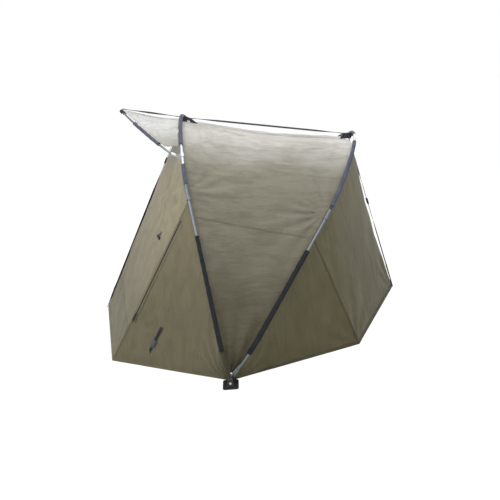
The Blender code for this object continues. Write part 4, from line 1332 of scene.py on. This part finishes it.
# The canopy
@dataclass
class Wall:
    """A canopy wall that hangs from a rib to the ground, folded at its corners."""

    rib: Rib
    towards: int
    fold: float
    corner: Vector
    middle: Vector
    sag: float
    swell: float = 0.0
    foot_gap: float = 0.003

    def point(self, u: float, v: float) -> Vector:
        """Point of the wall; u is -2 to 2 across both sides, v is 0 at the rib and 1 on the ground.

        Args:
            u: Place across.
            v: Place down.

        Returns:
            The point.
        """
        side = 1 if u <= 0 else -1
        w = min(2.0, max(0.0, 2 - abs(u)))
        if w <= 1:
            station = EDGE_START + (self.fold - EDGE_START) * w
            foot = Vector((FOOT_INSET_X, PIVOT_Y - self.towards * self.foot_gap, 0))
            hem = foot.lerp(self.corner, w)
            taut = 4 * w * (1 - w)
        else:
            station = self.fold + (self.rib.length - self.fold) * (w - 1)
            hem = self.corner.lerp(self.middle, w - 1)
            taut = min(1.0, (w - 1) / 0.33)
        top = self.rib.edge(station, side, self.towards)
        base = top.lerp(Vector((hem.x * side, hem.y, hem.z)), v)
        drape = 4 * v * (1 - v) * taut
        swell = self.swell * math.exp(-((u / 0.3) ** 2)) * smooth(6 * v * (1 - v))
        return base + (FOCUS - base).normalized() * (self.sag * drape - swell)


@dataclass(frozen=True)
class Seam:
    """A sewn tape: its panel, its path on the panel, its width and its finish if not the panel's."""

    name: str
    sheet: Sheet
    path: Path
    width: float
    finish: Finish | None = None


@dataclass
class Canopy(Maker):
    """All the cloth: roof, rear wall, front wall, door and peak, with their seams and hems."""

    door_foot: float = 0.790
    seam_width: float = 0.011
    edge_width: float = 0.016
    hem_width: float = 0.026
    hem_place: float = 0.984
    zip_place: float = 1.0175
    roof_sag: float = 0.034
    peak_sag: float = 0.012
    peak_start: float = 0.100
    hood_start: float = 0.110

    def __post_init__(self) -> None:
        """Set out the panels."""
        corner, middle = Vector(spot(0.849, -0.770, 0)), Vector(spot(0, -0.978, 0))
        front = Wall(self.front, 1, 1.110, corner, middle, 0.004, 0.008)
        corner, middle = Vector(spot(0.862, 0.825, 0)), Vector(spot(0, 1.270, 0))
        rear = Wall(self.rear, -1, 0.985, corner, middle, 0.006)
        self.front_panel = Sheet(
            "canopy_front_cloth", front.point, Finish.CANOPY_OLIVE, FRONT_CREASES, calm=self.zip_place
        )
        self.door_panel = Sheet(
            "door_cloth", front.point, Finish.DOOR_OLIVE_LIT, FRONT_CREASES, calm=self.zip_place
        )
        self.rear_panel = Sheet("canopy_rear_cloth", rear.point, Finish.REAR_OLIVE_SHADED, REAR_CREASES)
        self.roof_panel = Sheet("canopy_roof_cloth", self.roof_point, Finish.CANOPY_PALE, ROOF_CREASES)
        self.peak_panel = Sheet("canopy_peak_cloth", self.peak_point, Finish.PEAK_PALE, PEAK_CREASES, 0.0015)

    def roof_point(self, u: float, v: float) -> Vector:
        """Point of the roof; u is -1 to 1 over the ridge, v is 0 at the rear rib and 1 at the front rib.

        Args:
            u: Place across.
            v: Place along.

        Returns:
            The point.
        """
        side = 1 if u <= 0 else -1
        share = 1 - min(1.0, abs(u))
        a = self.rear.edge(EDGE_START + (self.rear.length - EDGE_START) * share, side, 1)
        b = self.front.edge(EDGE_START + (self.front.length - EDGE_START) * share, side, -1)
        base = a.lerp(b, v)
        drape = 4 * v * (1 - v) * min(1.0, share / 0.4)
        return base + (FOCUS - base).normalized() * (self.roof_sag * drape)

    def peak_point(self, u: float, v: float) -> Vector:
        """Point of the peak; u is -1 to 1, v is 0 at the front rib and 1 at the hood.

        Args:
            u: Place across.
            v: Place along.

        Returns:
            The point.
        """
        side = 1 if u <= 0 else -1
        share = 1 - min(1.0, abs(u))
        start = PEAK_HINGE + self.peak_start
        a, _, inward = self.front.at(start + (self.front.length - start) * share, side)
        b = self.hood.at(self.hood_start + (self.hood.length - self.hood_start) * share, side)[0]
        a = a + inward * (0.020 * share) + self.front.forward * 0.01974
        b = b - self.hood.forward * 0.0125
        base = a.lerp(b, v)
        return base - Vector((0, 0, 1)) * (self.peak_sag * 4 * v * (1 - v) * share)

    def panel(
        self, sheet: Sheet, columns: Sequence[float], rows: Sequence[float], slot: str, follow: Follow,
        node: str, keep: Callable[[float, float], bool] | None = None,
    ) -> None:
        """Make one panel.

        Args:
            sheet: The sheet.
            columns: Places across it.
            rows: Places down it.
            slot: The record's material slot.
            follow: How it moves.
            node: The CAD node that it replaces.
            keep: Test of the places that belong to it, or None for all.
        """
        made, area, flat = sheet.make(self.wardrobe, columns, rows, keep)
        self.ready(made, slot, follow, node)
        share = area / (flat[0] * flat[1])
        area if 0.3 <= share < 0.999 else None

    def make(self) -> None:
        """Make every panel, then its seams and hems."""
        foot = self.door_foot
        half = spread(44, -2, -1) + spread(60, -1, 0)[1:]
        across = half + [-u for u in reversed(half[:-1])]
        rows = spread(52, 0, foot - 0.001) + spread(15, foot + 0.001, 1.0)
        olive, pale = "canopy_olive", "canopy_pale"
        self.panel(
            self.front_panel, across, rows, olive, Follow.FRONT, "canopy_front",
            lambda u, v: abs(u) > 1 or v > foot,
        )
        door_columns, door_rows = spread(130, -0.9988, 0.9988), spread(56, 0, foot - 0.003)
        self.panel(self.door_panel, door_columns, door_rows, olive, Follow.FRONT, "door_panel")
        self.panel(self.rear_panel, across, spread(66), olive, Follow.REAR, "canopy_rear")
        self.panel(self.roof_panel, spread(300, -1, 1), spread(84), pale, Follow.ROOF, "canopy_roof")
        self.panel(self.peak_panel, spread(110, -1, 1), spread(30), pale, Follow.PEAK, "canopy_peak")
        for follow, seams in self.seams().items():
            self.sew(follow, seams, pale if follow in (Follow.ROOF, Follow.PEAK) else olive)

    def seams(self) -> dict[Follow, list[Seam]]:
        """List each sewn seam, edge and hem.

        Returns:
            The seams by the way they move.
        """

        def level(v: float, reach: float, count: int = 150) -> Path:
            """A path across a panel."""
            return [(u, v) for u in spread(count, -reach, reach)]

        down = spread(60, 0.012, 0.985)
        front, door, rear, roof = self.front_panel, self.door_panel, self.rear_panel, self.roof_panel
        wide = self.seam_width
        made: dict[Follow, list[Seam]] = {follow: [] for follow in (Follow.FRONT, Follow.REAR, Follow.ROOF)}
        for name, side in SIDES:
            path = [(-1.003 * side, v) for v in down]
            made[Follow.FRONT].append(Seam(f"front_fold_{name}", front, path, wide))
            path = [(-1.0 * side, v) for v in down]
            made[Follow.REAR].append(Seam(f"rear_fold_{name}", rear, path, wide, Finish.FOLD_OLIVE))
            path = [(-side * (0.531 - 0.015 * v), v) for v in spread(50, 0.02, 0.98)]
            made[Follow.ROOF].append(Seam(f"side_seam_{name}", roof, path, wide, Finish.SEAM_OLIVE))
        middle = [(0.0, v) for v in spread(40, 0.02, self.door_foot - 0.015)]
        made[Follow.FRONT] += [
            Seam("door_sill", front, level(self.door_foot - 0.001, 0.99, 90), 0.020),
            Seam("front_hem", front, level(self.hem_place, 1.97), self.hem_width),
            Seam("door_middle", door, middle, 0.012),
        ]
        made[Follow.REAR] += [
            Seam("rear_hem", rear, level(self.hem_place, 1.97), self.hem_width, Finish.FOLD_OLIVE),
            Seam("rear_middle", rear, [(0.0, v) for v in down], self.seam_width, Finish.FOLD_OLIVE),
        ]
        made[Follow.ROOF] += [
            Seam("roof_front_edge", roof, level(0.988, 0.97), self.edge_width),
            Seam("roof_rear_edge", roof, level(0.012, 0.97), self.edge_width),
        ]
        made[Follow.PEAK] = [
            Seam("peak_front_edge", self.peak_panel, level(0.955, 0.96, 90), self.edge_width)
        ]
        return made

    def sew(self, follow: Follow, seams: Sequence[Seam], slot: str) -> None:
        """Lay some seam tapes and sew two rows of stitches along each.

        Args:
            follow: How they move.
            seams: The seams.
            slot: The record's material slot.
        """
        rows: list[Spine] = []
        for seam in seams:
            material = self.wardrobe.get(seam.finish or seam.sheet.finish)
            made, spine = seam.sheet.tape(seam.name, seam.path, seam.width, material)
            self.ready(made, slot, follow)
            points = [point for point, _ in spine]
            for step in (-1, 1):
                row = []
                for k, (point, out) in enumerate(spine):
                    beside = out.cross(heading(points, k).normalized())
                    row.append((point + beside * (step * seam.width * 0.32) + out * 0.0001, out))
                rows.append(row)
        thread = self.wardrobe.get(Finish.THREAD)
        name, size = f"{follow.value}_stitches", (0.0052, 0.0011, 0.0008)
        self.ready(EvenRepeat(Shape.STITCH).make(name, rows, thread, 0.0075, size), slot, follow)


# Poles and sleeves
@dataclass
class PoleDress(Maker):
    """Tubes, ferrules and fabric sleeves, swept finely along the ribs.

    The first word of a node's name says which rib and body it belongs to.
    """

    wall: float = 0.005
    lower_top: float = 0.0042
    lower: float = 0.0072
    block_half: float = 0.058
    seam_short: float = 0.0022

    def arm(self, node: str) -> tuple[Rib, str]:
        """The rib and the body of a node."""
        word = node.split("_")[0]
        return {"front": self.front, "rear": self.rear, "peak": self.hood}[word], f"{word}_rib"

    def sleeve(
        self, node: str, start: float, end: float, walls: tuple[float, float], side: int, finish: Finish
    ) -> None:
        """Make a gathered fabric sleeve with rolled ends and a sewn edge.

        Args:
            node: The CAD node.
            start: Its lower end along the rib.
            end: Its upper end.
            walls: How far it stands off the tube at either end.
            side: 1 or -1.
            finish: Its cloth.
        """
        rib, body = self.arm(node)
        tube = HOOD_TUBE if rib is self.hood else TUBE
        profile: list[tuple[float, float]] = []
        for place, inward, wall in ((start, 1, walls[0]), (end, -1, walls[1])):
            radius = tube + wall
            roll = [(0.0, tube + 0.0012), (0.0006, radius - 0.0014), (0.0030, radius + 0.0004)]
            roll += [(0.0120, radius + 0.0004), (0.0150, radius - 0.0004)]
            profile += [(place + inward * far, size) for far, size in roll[::inward]]
        seam = 0.0 if rib is self.hood else max(0.0, EDGE - self.seam_short - tube - walls[0])
        material = self.wardrobe.get(finish)
        made = sweep(f"{node}_cloth", rib, profile, side, material, 28, seam, 0.0007, 0.008)
        self.ready(made, finish.value.name, body, node)

    def tube(
        self, node: str, start: float, end: float, side: int = 1, radius: float = TUBE,
        finish: Finish = Finish.POLE_ALLOY,
    ) -> None:
        """Make a drawn tube from start to end along its rib.

        Args:
            node: The CAD node that it replaces.
            start: Where it starts.
            end: Where it ends.
            side: 1 for left, -1 for right.
            radius: The tube's radius.
            finish: The tube's finish.
        """
        rib, body = self.arm(node)
        made = sweep(f"{node}_drawn", rib, ((start, radius), (end, radius)), side, self.wardrobe.get(finish))
        self.ready(made, "pole_alloy", body, node)

    def arch(self, node: str, start: float, radius: float, finish: Finish) -> None:
        """Make a drawn tube over the crown, from start on the left to the same place on the right."""
        self.tube(node, start, 2 * self.arm(node)[0].length - start, 1, radius, finish)

    def ferrule(self, node: str, start: float, end: float, side: int) -> None:
        """Make a turned ferrule with a rolled band at each end.

        Args:
            node: The CAD node that it replaces.
            start: Where it starts.
            end: Where it ends.
            side: 1 for left, -1 for right.
        """
        rib, body = self.arm(node)
        profile = [(start, TUBE + 0.0004), (start + 0.0008, 0.0122), (start + 0.0020, 0.0128)]
        profile += [(start + 0.0085, 0.0128), (start + 0.0100, 0.0118), (start + 0.0112, 0.0112)]
        profile += [(start + end - s, r) for s, r in reversed(profile)]
        made = sweep(f"{node}_turned", rib, profile, side, self.wardrobe.get(Finish.FERRULE_ALLOY), 28)
        self.ready(made, "ferrule_alloy", body, node)

    def foot_cover(self, name: str, side: int) -> None:
        """Wrap the front rib's foot in canopy cloth, from its socket to the black sleeve.

        Args:
            name: The side's name.
            side: 1 for left, -1 for right.
        """
        profile = (
            (0.022, 0.0128), (0.023, 0.0138), (0.075, 0.0142), (0.120, 0.0132), (0.188, 0.0146),
            (0.1945, 0.0140),
        )
        node, material = f"front_foot_cover_{name}", self.wardrobe.get(Finish.FOOT_CLOTH)
        made = sweep(node, self.front, profile, side, material, 28, 0.008, 0.0009, 0.008)
        self.ready(made, "canopy_olive", "front_rib")

    def make(self) -> None:
        """Dress both main ribs and the hood."""
        slate, black = Finish.SLEEVE_SLATE, Finish.SLEEVE_BLACK
        even, thick = (self.wall, self.wall), (self.lower, self.lower)
        narrowing = (self.lower, self.lower_top)
        front_end = self.front.length - self.block_half - 0.006
        rear_end = self.rear.length - self.block_half - 0.141
        for name, side in SIDES:
            self.tube(f"front_leg_tube_{name}", 0.023, 1.1457, side)
            self.tube(f"rear_leg_tube_{name}", 0.023, 1.1547, side)
            self.ferrule(f"front_ferrule_{name}", 1.096, 1.196, side)
            self.ferrule(f"rear_ferrule_{name}", 1.120, 1.190, side)
            self.sleeve(f"front_lower_sleeve_{name}", 0.196, 0.878, narrowing, side, black)
            self.sleeve(f"front_mid_sleeve_{name}", 1.1965, 1.356, even, side, slate)
            self.sleeve(f"front_top_sleeve_{name}", 1.549, front_end, even, side, slate)
            self.sleeve(f"rear_lower_sleeve_{name}", 0.186, 0.893, thick, side, black)
            self.sleeve(f"rear_top_sleeve_{name}", 1.222, rear_end, even, side, slate)
            self.sleeve(f"peak_sleeve_{name}", 0.164, 0.523, even, side, slate)
            self.foot_cover(name, side)
        # The crown tubes take the brighter alloy with its painted highlight
        self.arch("front_crown_tube", 1.1463, TUBE, Finish.CROWN_ALLOY_LIT)
        self.arch("rear_crown_tube", 1.1553, TUBE, Finish.REAR_CROWN)
        self.arch("peak_tube", 0.0183, HOOD_TUBE, Finish.POLE_ALLOY)


# Straps, zips and small fittings; a slider's outlines run along the zip, as (distance, half width or height)
SLIDER_BODY = ((-0.013, 0.0042), (-0.004, 0.0065), (0.005, 0.0065), (0.013, 0.0033))
SLIDER_LAYERS = ((0.0, 0.85), (0.0010, 1.0), (0.0052, 1.0), (0.0062, 0.86))
SLIDER_BRIDGE = ((-0.008, 0.0062), (-0.006, 0.0090), (0.004, 0.0096), (0.008, 0.0062))
SLIDER_TAB = ((0.002, 0.0022), (-0.006, 0.0040), (-0.036, 0.0052), (-0.043, 0.0040))
TOGGLE_HALF = ((-0.027, 0.0030), (-0.0255, 0.0058), (-0.021, 0.0070), (-0.006, 0.0066))
TOGGLE_WAIST = (0.0, 0.0052)
TOGGLE_LOOP = ((0.0, 0.0072), (-0.008, 0.0068), (-0.018, 0.0030), (-0.030, -0.0058), (-0.052, -0.0066))
CLIP_BODY = (
    (-0.026, 0.011), (-0.020, 0.014), (-0.002, 0.015), (0.006, 0.0125), (0.014, 0.015), (0.024, 0.0135),
    (0.026, 0.011),
)
CLIP_SECTION = ((-1, -0.6), (-0.86, -1), (0.86, -1), (1, -0.6), (1, 0.6), (0.8, 1), (-0.8, 1), (-1, 0.6))
CLIP_STRAP = (
    (-0.120, -0.0042), (-0.060, -0.0040), (-0.020, -0.0020), (0.020, -0.0020), (0.050, -0.0040),
    (0.078, -0.0042),
)


def strip_points(seat: Seat, rows: Sequence[tuple[float, float, float, float]]) -> list[Vector]:
    """Rings of four points: rows of distance along, half width, height of the lower face and thickness.

    Args:
        seat: The strip's place.
        rows: The rows.

    Returns:
        The points.
    """
    points = []
    for along, half, low, thick in rows:
        high = low + thick
        points += [seat.at(along, x, z) for x, z in ((-half, low), (half, low), (half, high), (-half, high))]
    return points


@dataclass
class StrapPlan:
    """Where a strap runs and how it is sewn: lengths along it in metres, from its first fixing."""

    first: Vector
    last: Vector
    ground: bool
    fixings: list[float]
    width: float = 0.020
    ground_width: float = 0.026
    thin: float = 0.0017
    doubled: float = 0.0036
    sewn: float = 0.032
    ground_sewn: float = 0.194
    most_turn: float = 0.5
    turn_length: float = 0.16

    @property
    def total(self) -> float:
        """The strap's length."""
        return (self.last - self.first).length

    def marks(self) -> list[float]:
        """Where the webbing has a cross-section.

        Returns:
            The distances along the strap.
        """
        total = self.total
        marks = [0.0, 0.001, 0.030, 0.034] + spread(60, 0.05, total - (0.21 if self.ground else 0.05))
        ends = (0.198, 0.19, 0.001, 0.0) if self.ground else (0.034, 0.030, 0.001, 0.0)
        return marks + [total - far for far in ends]

    def section(self, mark: float) -> tuple[float, float, float]:
        """Width, thickness and turn of the webbing at a mark.

        Args:
            mark: Distance along the strap.

        Returns:
            The section's three values.
        """
        low = self.ground and mark > self.total - self.ground_sewn
        doubled = low or mark < self.sewn or mark > self.total - self.sewn
        clear = min(abs(mark - f) - (0.10 if 0 < f < self.total else 0.045) for f in self.fixings)
        turn = self.most_turn * smooth(clear / self.turn_length)
        return self.ground_width if low else self.width, self.doubled if doubled else self.thin, turn


@dataclass
class Fittings(Maker):
    """Webbing, zips with their sliders, toggles and clips."""

    canopy: Canopy
    zip_top: float = 0.110
    zip_foot: float = 0.740
    flap_place: float = 1.036
    toggle_place: tuple[float, float] = (0.82, 0.33)
    clip_place: tuple[float, float] = (1.28, 0.80)

    def ribbon(self, name: str, plan: StrapPlan) -> bpy.types.Object:
        """Make a strap's webbing in the middle plane, with rolled edges and a twist.

        Args:
            name: The strap's name.
            plan: The strap's plan.

        Returns:
            The webbing.
        """
        marks = plan.marks()
        points = [plan.first.lerp(plan.last, m / plan.total) for m in marks]
        verts, flat = [], []
        outline = ((-1.0, -0.5), (-0.94, -1.0), (0.94, -1.0), (1.0, -0.5))
        outline += tuple((-a, -b) for a, b in outline)
        for k, run in enumerate(running(points)):
            width, thick, turn = plan.section(marks[k])
            up = heading(points, k).normalized().cross(Vector((1, 0, 0)))
            wide = Vector((math.cos(turn), 0, 0)) + up * math.sin(turn)
            deep = up * math.cos(turn) - Vector((math.sin(turn), 0, 0))
            for a, b in outline:
                verts.append(points[k] + wide * (a * width / 2) + deep * (b * thick / 2))
                flat.append((a * width / 2 + 0.02, run))
        faces = ring_faces(len(points), len(outline))
        return make_piece(name, verts, faces, self.wardrobe.get(Finish.WEBBING_BLACK), flat)

    def strap(self, node: str, follow: Follow, ground: bool) -> None:
        """Follow a strap's own solid with finer webbing, doubled at its ends.

        Args:
            node: The CAD node that it replaces.
            follow: How it moves.
            ground: Whether its lower end is on the ground.
        """
        low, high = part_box(node)
        places = [v.co.copy() for v in frame["nodes"][node].data.vertices]
        level = high[1] - low[1] > 0.9 * (high[2] - low[2])
        places.sort(key=(lambda p: p.y) if level else (lambda p: p.z))
        a, b = sum(places[:4], Vector()) / 4, sum(places[-4:], Vector()) / 4
        if ground:
            a, b = b, a
        plan = StrapPlan(a, b, ground, [])
        plan.fixings = [0.0, plan.total]
        if ground:
            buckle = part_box(node.replace("strap", "buckle"))
            middle = (Vector(buckle[0]) + Vector(buckle[1])) / 2
            plan.fixings.append((middle - a).dot((b - a).normalized()))
        self.ready(self.ribbon(f"{node}_webbing", plan), "webbing_black", follow, node)

    def zip_line(self, side_name: str, side: int) -> None:
        """Lay a zip beside the door's fold, with its teeth, flap, slider and pull.

        Args:
            side_name: The side's name.
            side: 1 for left, -1 for right.
        """
        wall, get = self.canopy.front_panel, self.wardrobe.get
        down, node = spread(60, self.zip_top, self.zip_foot), f"zip_{side_name}"
        path = [(-side * self.canopy.zip_place, v) for v in down]
        tape, spine = wall.tape(f"{node}_tape", path, 0.026, get(Finish.ZIP_TAPE), 0.0010, 0.0011)
        self.ready(tape, "zip_black", Follow.FRONT, node)
        size = (0.0022, 0.0064, 0.0024)
        teeth = EvenRepeat(Shape.TOOTH).make(f"{node}_teeth", [spine], get(Finish.ZIP_BLACK), 0.0026, size)
        self.ready(teeth, "zip_black", Follow.FRONT)
        path = [(-side * self.flap_place, v) for v in down]
        flap, _ = wall.tape(f"{node}_flap", path, 0.010, get(Finish.CANOPY_PALE), 0.0012, 0.0006)
        self.ready(flap, "canopy_olive", Follow.FRONT)
        self.slider(f"zip_slider_{side_name}", spine)

    def slider(self, node: str, spine: Spine) -> None:
        """Make a zip slider: waisted body, bridge and pull tab.

        Args:
            node: The CAD node that it replaces.
            spine: The zip's points and directions.
        """
        foot, up = spine[-1]
        along = (foot - spine[0][0]).normalized()
        out = (up - along * up.dot(along)).normalized()
        seat = Seat(foot - along * 0.026 + out * 0.0020, along, out.cross(along), out)
        ring = list(SLIDER_BODY) + [(a, -w) for a, w in reversed(SLIDER_BODY)]
        verts = [seat.at(a * inset, w * inset, height) for height, inset in SLIDER_LAYERS for a, w in ring]
        faces = ring_faces(len(SLIDER_LAYERS), len(ring))
        bridge = [(a, 0.0016, h - 0.0006, 0.0012) for a, h in SLIDER_BRIDGE]
        tab = [(a, w, 0.0076 - (0.002 - a) * 0.08, 0.0016) for a, w in SLIDER_TAB]
        for bar in (bridge, tab):
            faces += ring_faces(len(bar), 4, len(verts))
            verts += strip_points(seat, bar)
        made = make_piece(f"{node}_body", verts, faces, self.wardrobe.get(Finish.SLIDER_DARK))
        bevel = made.modifiers.new("edge", "BEVEL")
        bevel.width, bevel.segments = 0.0004, 2
        mesh = applied(made)
        made.modifiers.clear()
        made.data = mesh
        self.ready(made, "pin_steel", Follow.FRONT, node, body=node)

    def webbing(self, name: str, seat: Seat, rows: Sequence[tuple[float, float, float, float]]) -> None:
        """Make a small strap on the cloth, from rows as strip_points takes them.

        Args:
            name: The strap's name.
            seat: Its place on the cloth.
            rows: Its rows.
        """
        verts = strip_points(seat, rows)
        flat = [(0.01 * (k % 4), 0.01 * (k // 4)) for k in range(len(verts))]
        material = self.wardrobe.get(Finish.WEBBING_BLACK)
        made = make_piece(name, verts, ring_faces(len(rows), 4), material, flat)
        self.ready(made, "webbing_black", Follow.FRONT)

    def toggle(self, side_name: str, side: int, count: int = 16) -> None:
        """Make a roll-up toggle: rounded bar and webbing loop.

        Args:
            side_name: The side's name.
            side: 1 for left, -1 for right.
            count: Points round the bar.
        """
        u, v = self.toggle_place
        seat = self.canopy.door_panel.seat(-side * u, v).raised(0.0085)
        rings = (*TOGGLE_HALF, TOGGLE_WAIST, *((-a, r) for a, r in reversed(TOGGLE_HALF)))
        turns = [2 * math.pi * k / count for k in range(count)]
        verts = [seat.at(r * math.cos(t), a, r * math.sin(t)) for a, r in rings for t in turns]
        node, material = f"door_toggle_{side_name}", self.wardrobe.get(Finish.MOULDING_BLACK)
        bar = make_piece(f"{node}_bar", verts, ring_faces(len(rings), count), material)
        self.ready(bar, "moulding_black", Follow.FRONT, node)
        self.webbing(f"{node}_loop", seat, [(a, 0.006, h - 0.0007, 0.0014) for a, h in TOGGLE_LOOP])

    def clip(self, side_name: str, side: int) -> None:
        """Make the hem tensioner: side-release clip with webbing above and below.

        Args:
            side_name: The side's name.
            side: 1 for left, -1 for right.
        """
        u, v = self.clip_place
        seat = self.canopy.front_panel.seat(-side * u, v).raised(0.0062)
        verts = []
        for a, w in CLIP_BODY:
            lift = 0.0046 if abs(a) < 0.022 else 0.0034
            verts += [seat.at(a, w * x, lift * z) for x, z in CLIP_SECTION]
        faces, material = ring_faces(len(CLIP_BODY), len(CLIP_SECTION)), self.wardrobe.get(Finish.CLIP_GREY)
        made = make_piece(f"hem_clip_{side_name}_shell", verts, faces, material)
        self.ready(made, "clip_grey", Follow.FRONT, f"hem_clip_{side_name}")
        self.webbing(f"hem_strap_{side_name}", seat, [(a, 0.0095, h, 0.0014) for a, h in CLIP_STRAP])

    def make(self) -> None:
        """Make every strap and fitting."""
        self.strap("front_strap", Follow.FRONT, True)
        self.strap("rear_strap", Follow.REAR, True)
        self.strap("ridge_strap", Follow.RIDGE, False)
        self.strap("peak_strap", Follow.PEAK, False)
        for name, side in SIDES:
            self.zip_line(name, side)
            self.toggle(name, side)
            self.clip(name, side)


@dataclass
class Hardware:
    """Finishes for the rigid solids that stay: by record slot, or by name for the bare metal feet and for
    the peak's bracket and knuckle, which take the crown alloy with its painted highlight.
    """

    wardrobe: Wardrobe
    by_slot = {
        "pin_steel": Finish.PIN_STEEL,
        "moulding_black": Finish.MOULDING_BLACK,
        "clip_grey": Finish.CLIP_GREY,
        "ferrule_alloy": Finish.FERRULE_ALLOY,
        "pole_alloy": Finish.POLE_ALLOY,
    }
    by_name = {
        "front_foot": Finish.FERRULE_ALLOY,
        "rear_foot": Finish.POLE_ALLOY,
        # The brighter crown alloy on the peak's bracket and knuckle is a painted highlight
        "peak_bracket": Finish.CROWN_ALLOY_LIT,
        "peak_knuckle": Finish.CROWN_ALLOY_LIT,
    }

    def make(self) -> None:
        """Give each visible solid its finish."""
        for part in frame["record"]["subparts"]:
            finish = self.by_slot.get(part["material_slot"])
            finish = self.by_name.get(part["node"].rsplit("_", 1)[0], finish)
            solid = frame["nodes"][part["node"]]
            if finish and solid.material_slots:
                for place in solid.material_slots:
                    place.material = self.wardrobe.get(finish)
                LOG.info("dressed %s", part["node"])


# Each lamp's place, size in metres and power in watts
LAMPS = {
    "key": ((2.6, -2.4, 4.2), 3.0, 90.0),
    "top": ((0.2, 0.4, 4.6), 3.4, 72.0),
    "side": ((4.6, 1.6, 2.0), 2.6, 24.0),
    "far": ((-4.0, 1.8, 2.6), 3.0, 36.0),
    "door": ((1.0, -4.8, 1.9), 2.6, 30.0),
    "rear": ((1.6, 4.8, 2.4), 2.6, 26.0),
}


@dataclass
class Studio:
    """Pale floor, soft light and the photograph's camera."""

    eye: Vector = field(default_factory=lambda: Vector((4.0153, 0.0123, 1.7893)))
    ahead: Vector = field(default_factory=lambda: Vector((-0.94435563, 0.00271206, -0.32891503)))
    up: Vector = field(default_factory=lambda: Vector((-0.3279068, 0.07090391, 0.94204552)))
    lens: float = 39.90
    sensor: float = 36.0
    floor_half: float = 30.0
    floor_z: float = -0.0005
    aim: Vector = field(default_factory=lambda: Vector((0, 0, 0.6)))

    def floor(self) -> None:
        """Lay the floor, which the camera sees as white."""
        s = Shader("studio_floor")
        s.set(Base_Color=(0.86, 0.86, 0.86, 1.0), Roughness=0.9)
        glow = s.node("ShaderNodeEmission", None, Color=(1.0, 1.0, 1.0, 1.0), Strength=1.12)
        seen = s.node("ShaderNodeLightPath").outputs["Is Camera Ray"]
        mix = s.node("ShaderNodeMixShader")
        for place, value in enumerate((Wave(s.tree, seen) * 0.86, s.bsdf.outputs[0], glow.outputs[0])):
            fill(s.tree, mix.inputs[place], value)
        fill(s.tree, s.tree.nodes["Material Output"].inputs["Surface"], mix.outputs[0])
        half, z = self.floor_half, self.floor_z
        corners = [(-half, -half, z), (half, -half, z), (half, half, z), (-half, half, z)]
        mesh = bpy.data.meshes.new("studio_floor")
        mesh.from_pydata(corners, [], [(0, 1, 2, 3)])
        mesh.materials.append(s.material)
        made = place_object("studio_floor", mesh)

    def light(self, name: str, place: Place, size: float, power: float) -> None:
        """Hang a soft square lamp that faces the tent.

        Args:
            name: The lamp's name.
            place: Its place.
            size: Its width in metres.
            power: Its power in watts.
        """
        lamp = bpy.data.lights.new(name, "AREA")
        lamp.shape, lamp.size, lamp.energy = "SQUARE", size, power
        made = place_object(name, lamp)
        made.location = place
        made.rotation_euler = (self.aim - Vector(place)).to_track_quat("-Z", "Y").to_euler()

    def world(self) -> None:
        """Set a pale sky that the camera, metal and clear pieces see as white."""
        sky = bpy.data.worlds.new("studio")
        sky.use_nodes = True
        tree = sky.node_tree
        back = tree.nodes["Background"]
        back.inputs["Color"].default_value = (1.0, 1.0, 1.0, 1.0)
        path = tree.nodes.new("ShaderNodeLightPath")
        seen = Wave(tree, path.outputs["Is Camera Ray"]) + Wave(tree, path.outputs["Is Glossy Ray"])
        seen = (seen + Wave(tree, path.outputs["Is Transmission Ray"])).clamped()
        fill(tree, back.inputs["Strength"], seen * 0.70 + 0.30)
        bpy.context.scene.world = sky

    def make(self) -> None:
        """Set up the whole studio."""
        self.floor()
        for name, (place, size, power) in LAMPS.items():
            self.light(name, place, size, power)
        self.world()
        camera = bpy.data.cameras.new("camera")
        camera.lens, camera.sensor_width = self.lens, self.sensor
        camera.clip_end = 200.0
        made = place_object("camera", camera)
        back = -self.ahead.normalized()
        right = self.up.cross(back).normalized()
        turn = Matrix((right, back.cross(right), back)).transposed().to_4x4()
        made.matrix_world = Matrix.Translation(self.eye) @ turn
        bpy.context.scene.camera = made
        bpy.context.scene.view_settings.view_transform = "Standard"


def main() -> None:
    """Build the tent's dressing in order."""
    logging.basicConfig(level=logging.INFO, format="%(message)s")
    wardrobe = Wardrobe()
    front = Rib(1.250, 1.410, 10.0, Vector((1.250, PIVOT_Y, PIVOT_Z)))
    rear_foot = Vector((1.216, PIVOT_Y, PIVOT_Z))
    rear = Rib(1.216, 1.530, -39.0, rear_foot, crown_drop=0.045, crown_pull=0.020)
    hinge = front.at(PEAK_HINGE)[0] + front.forward * PEAK_PIN_REACH
    hood = Hood(hinge.x, 0.474, 59.1, hinge)
    Studio().make()
    Hardware(wardrobe).make()
    canopy = Canopy(front, rear, hood, wardrobe)
    canopy.make()
    PoleDress(front, rear, hood, wardrobe).make()
    Fittings(front, rear, hood, wardrobe, canopy).make()


if __name__ == "__main__":
    main()
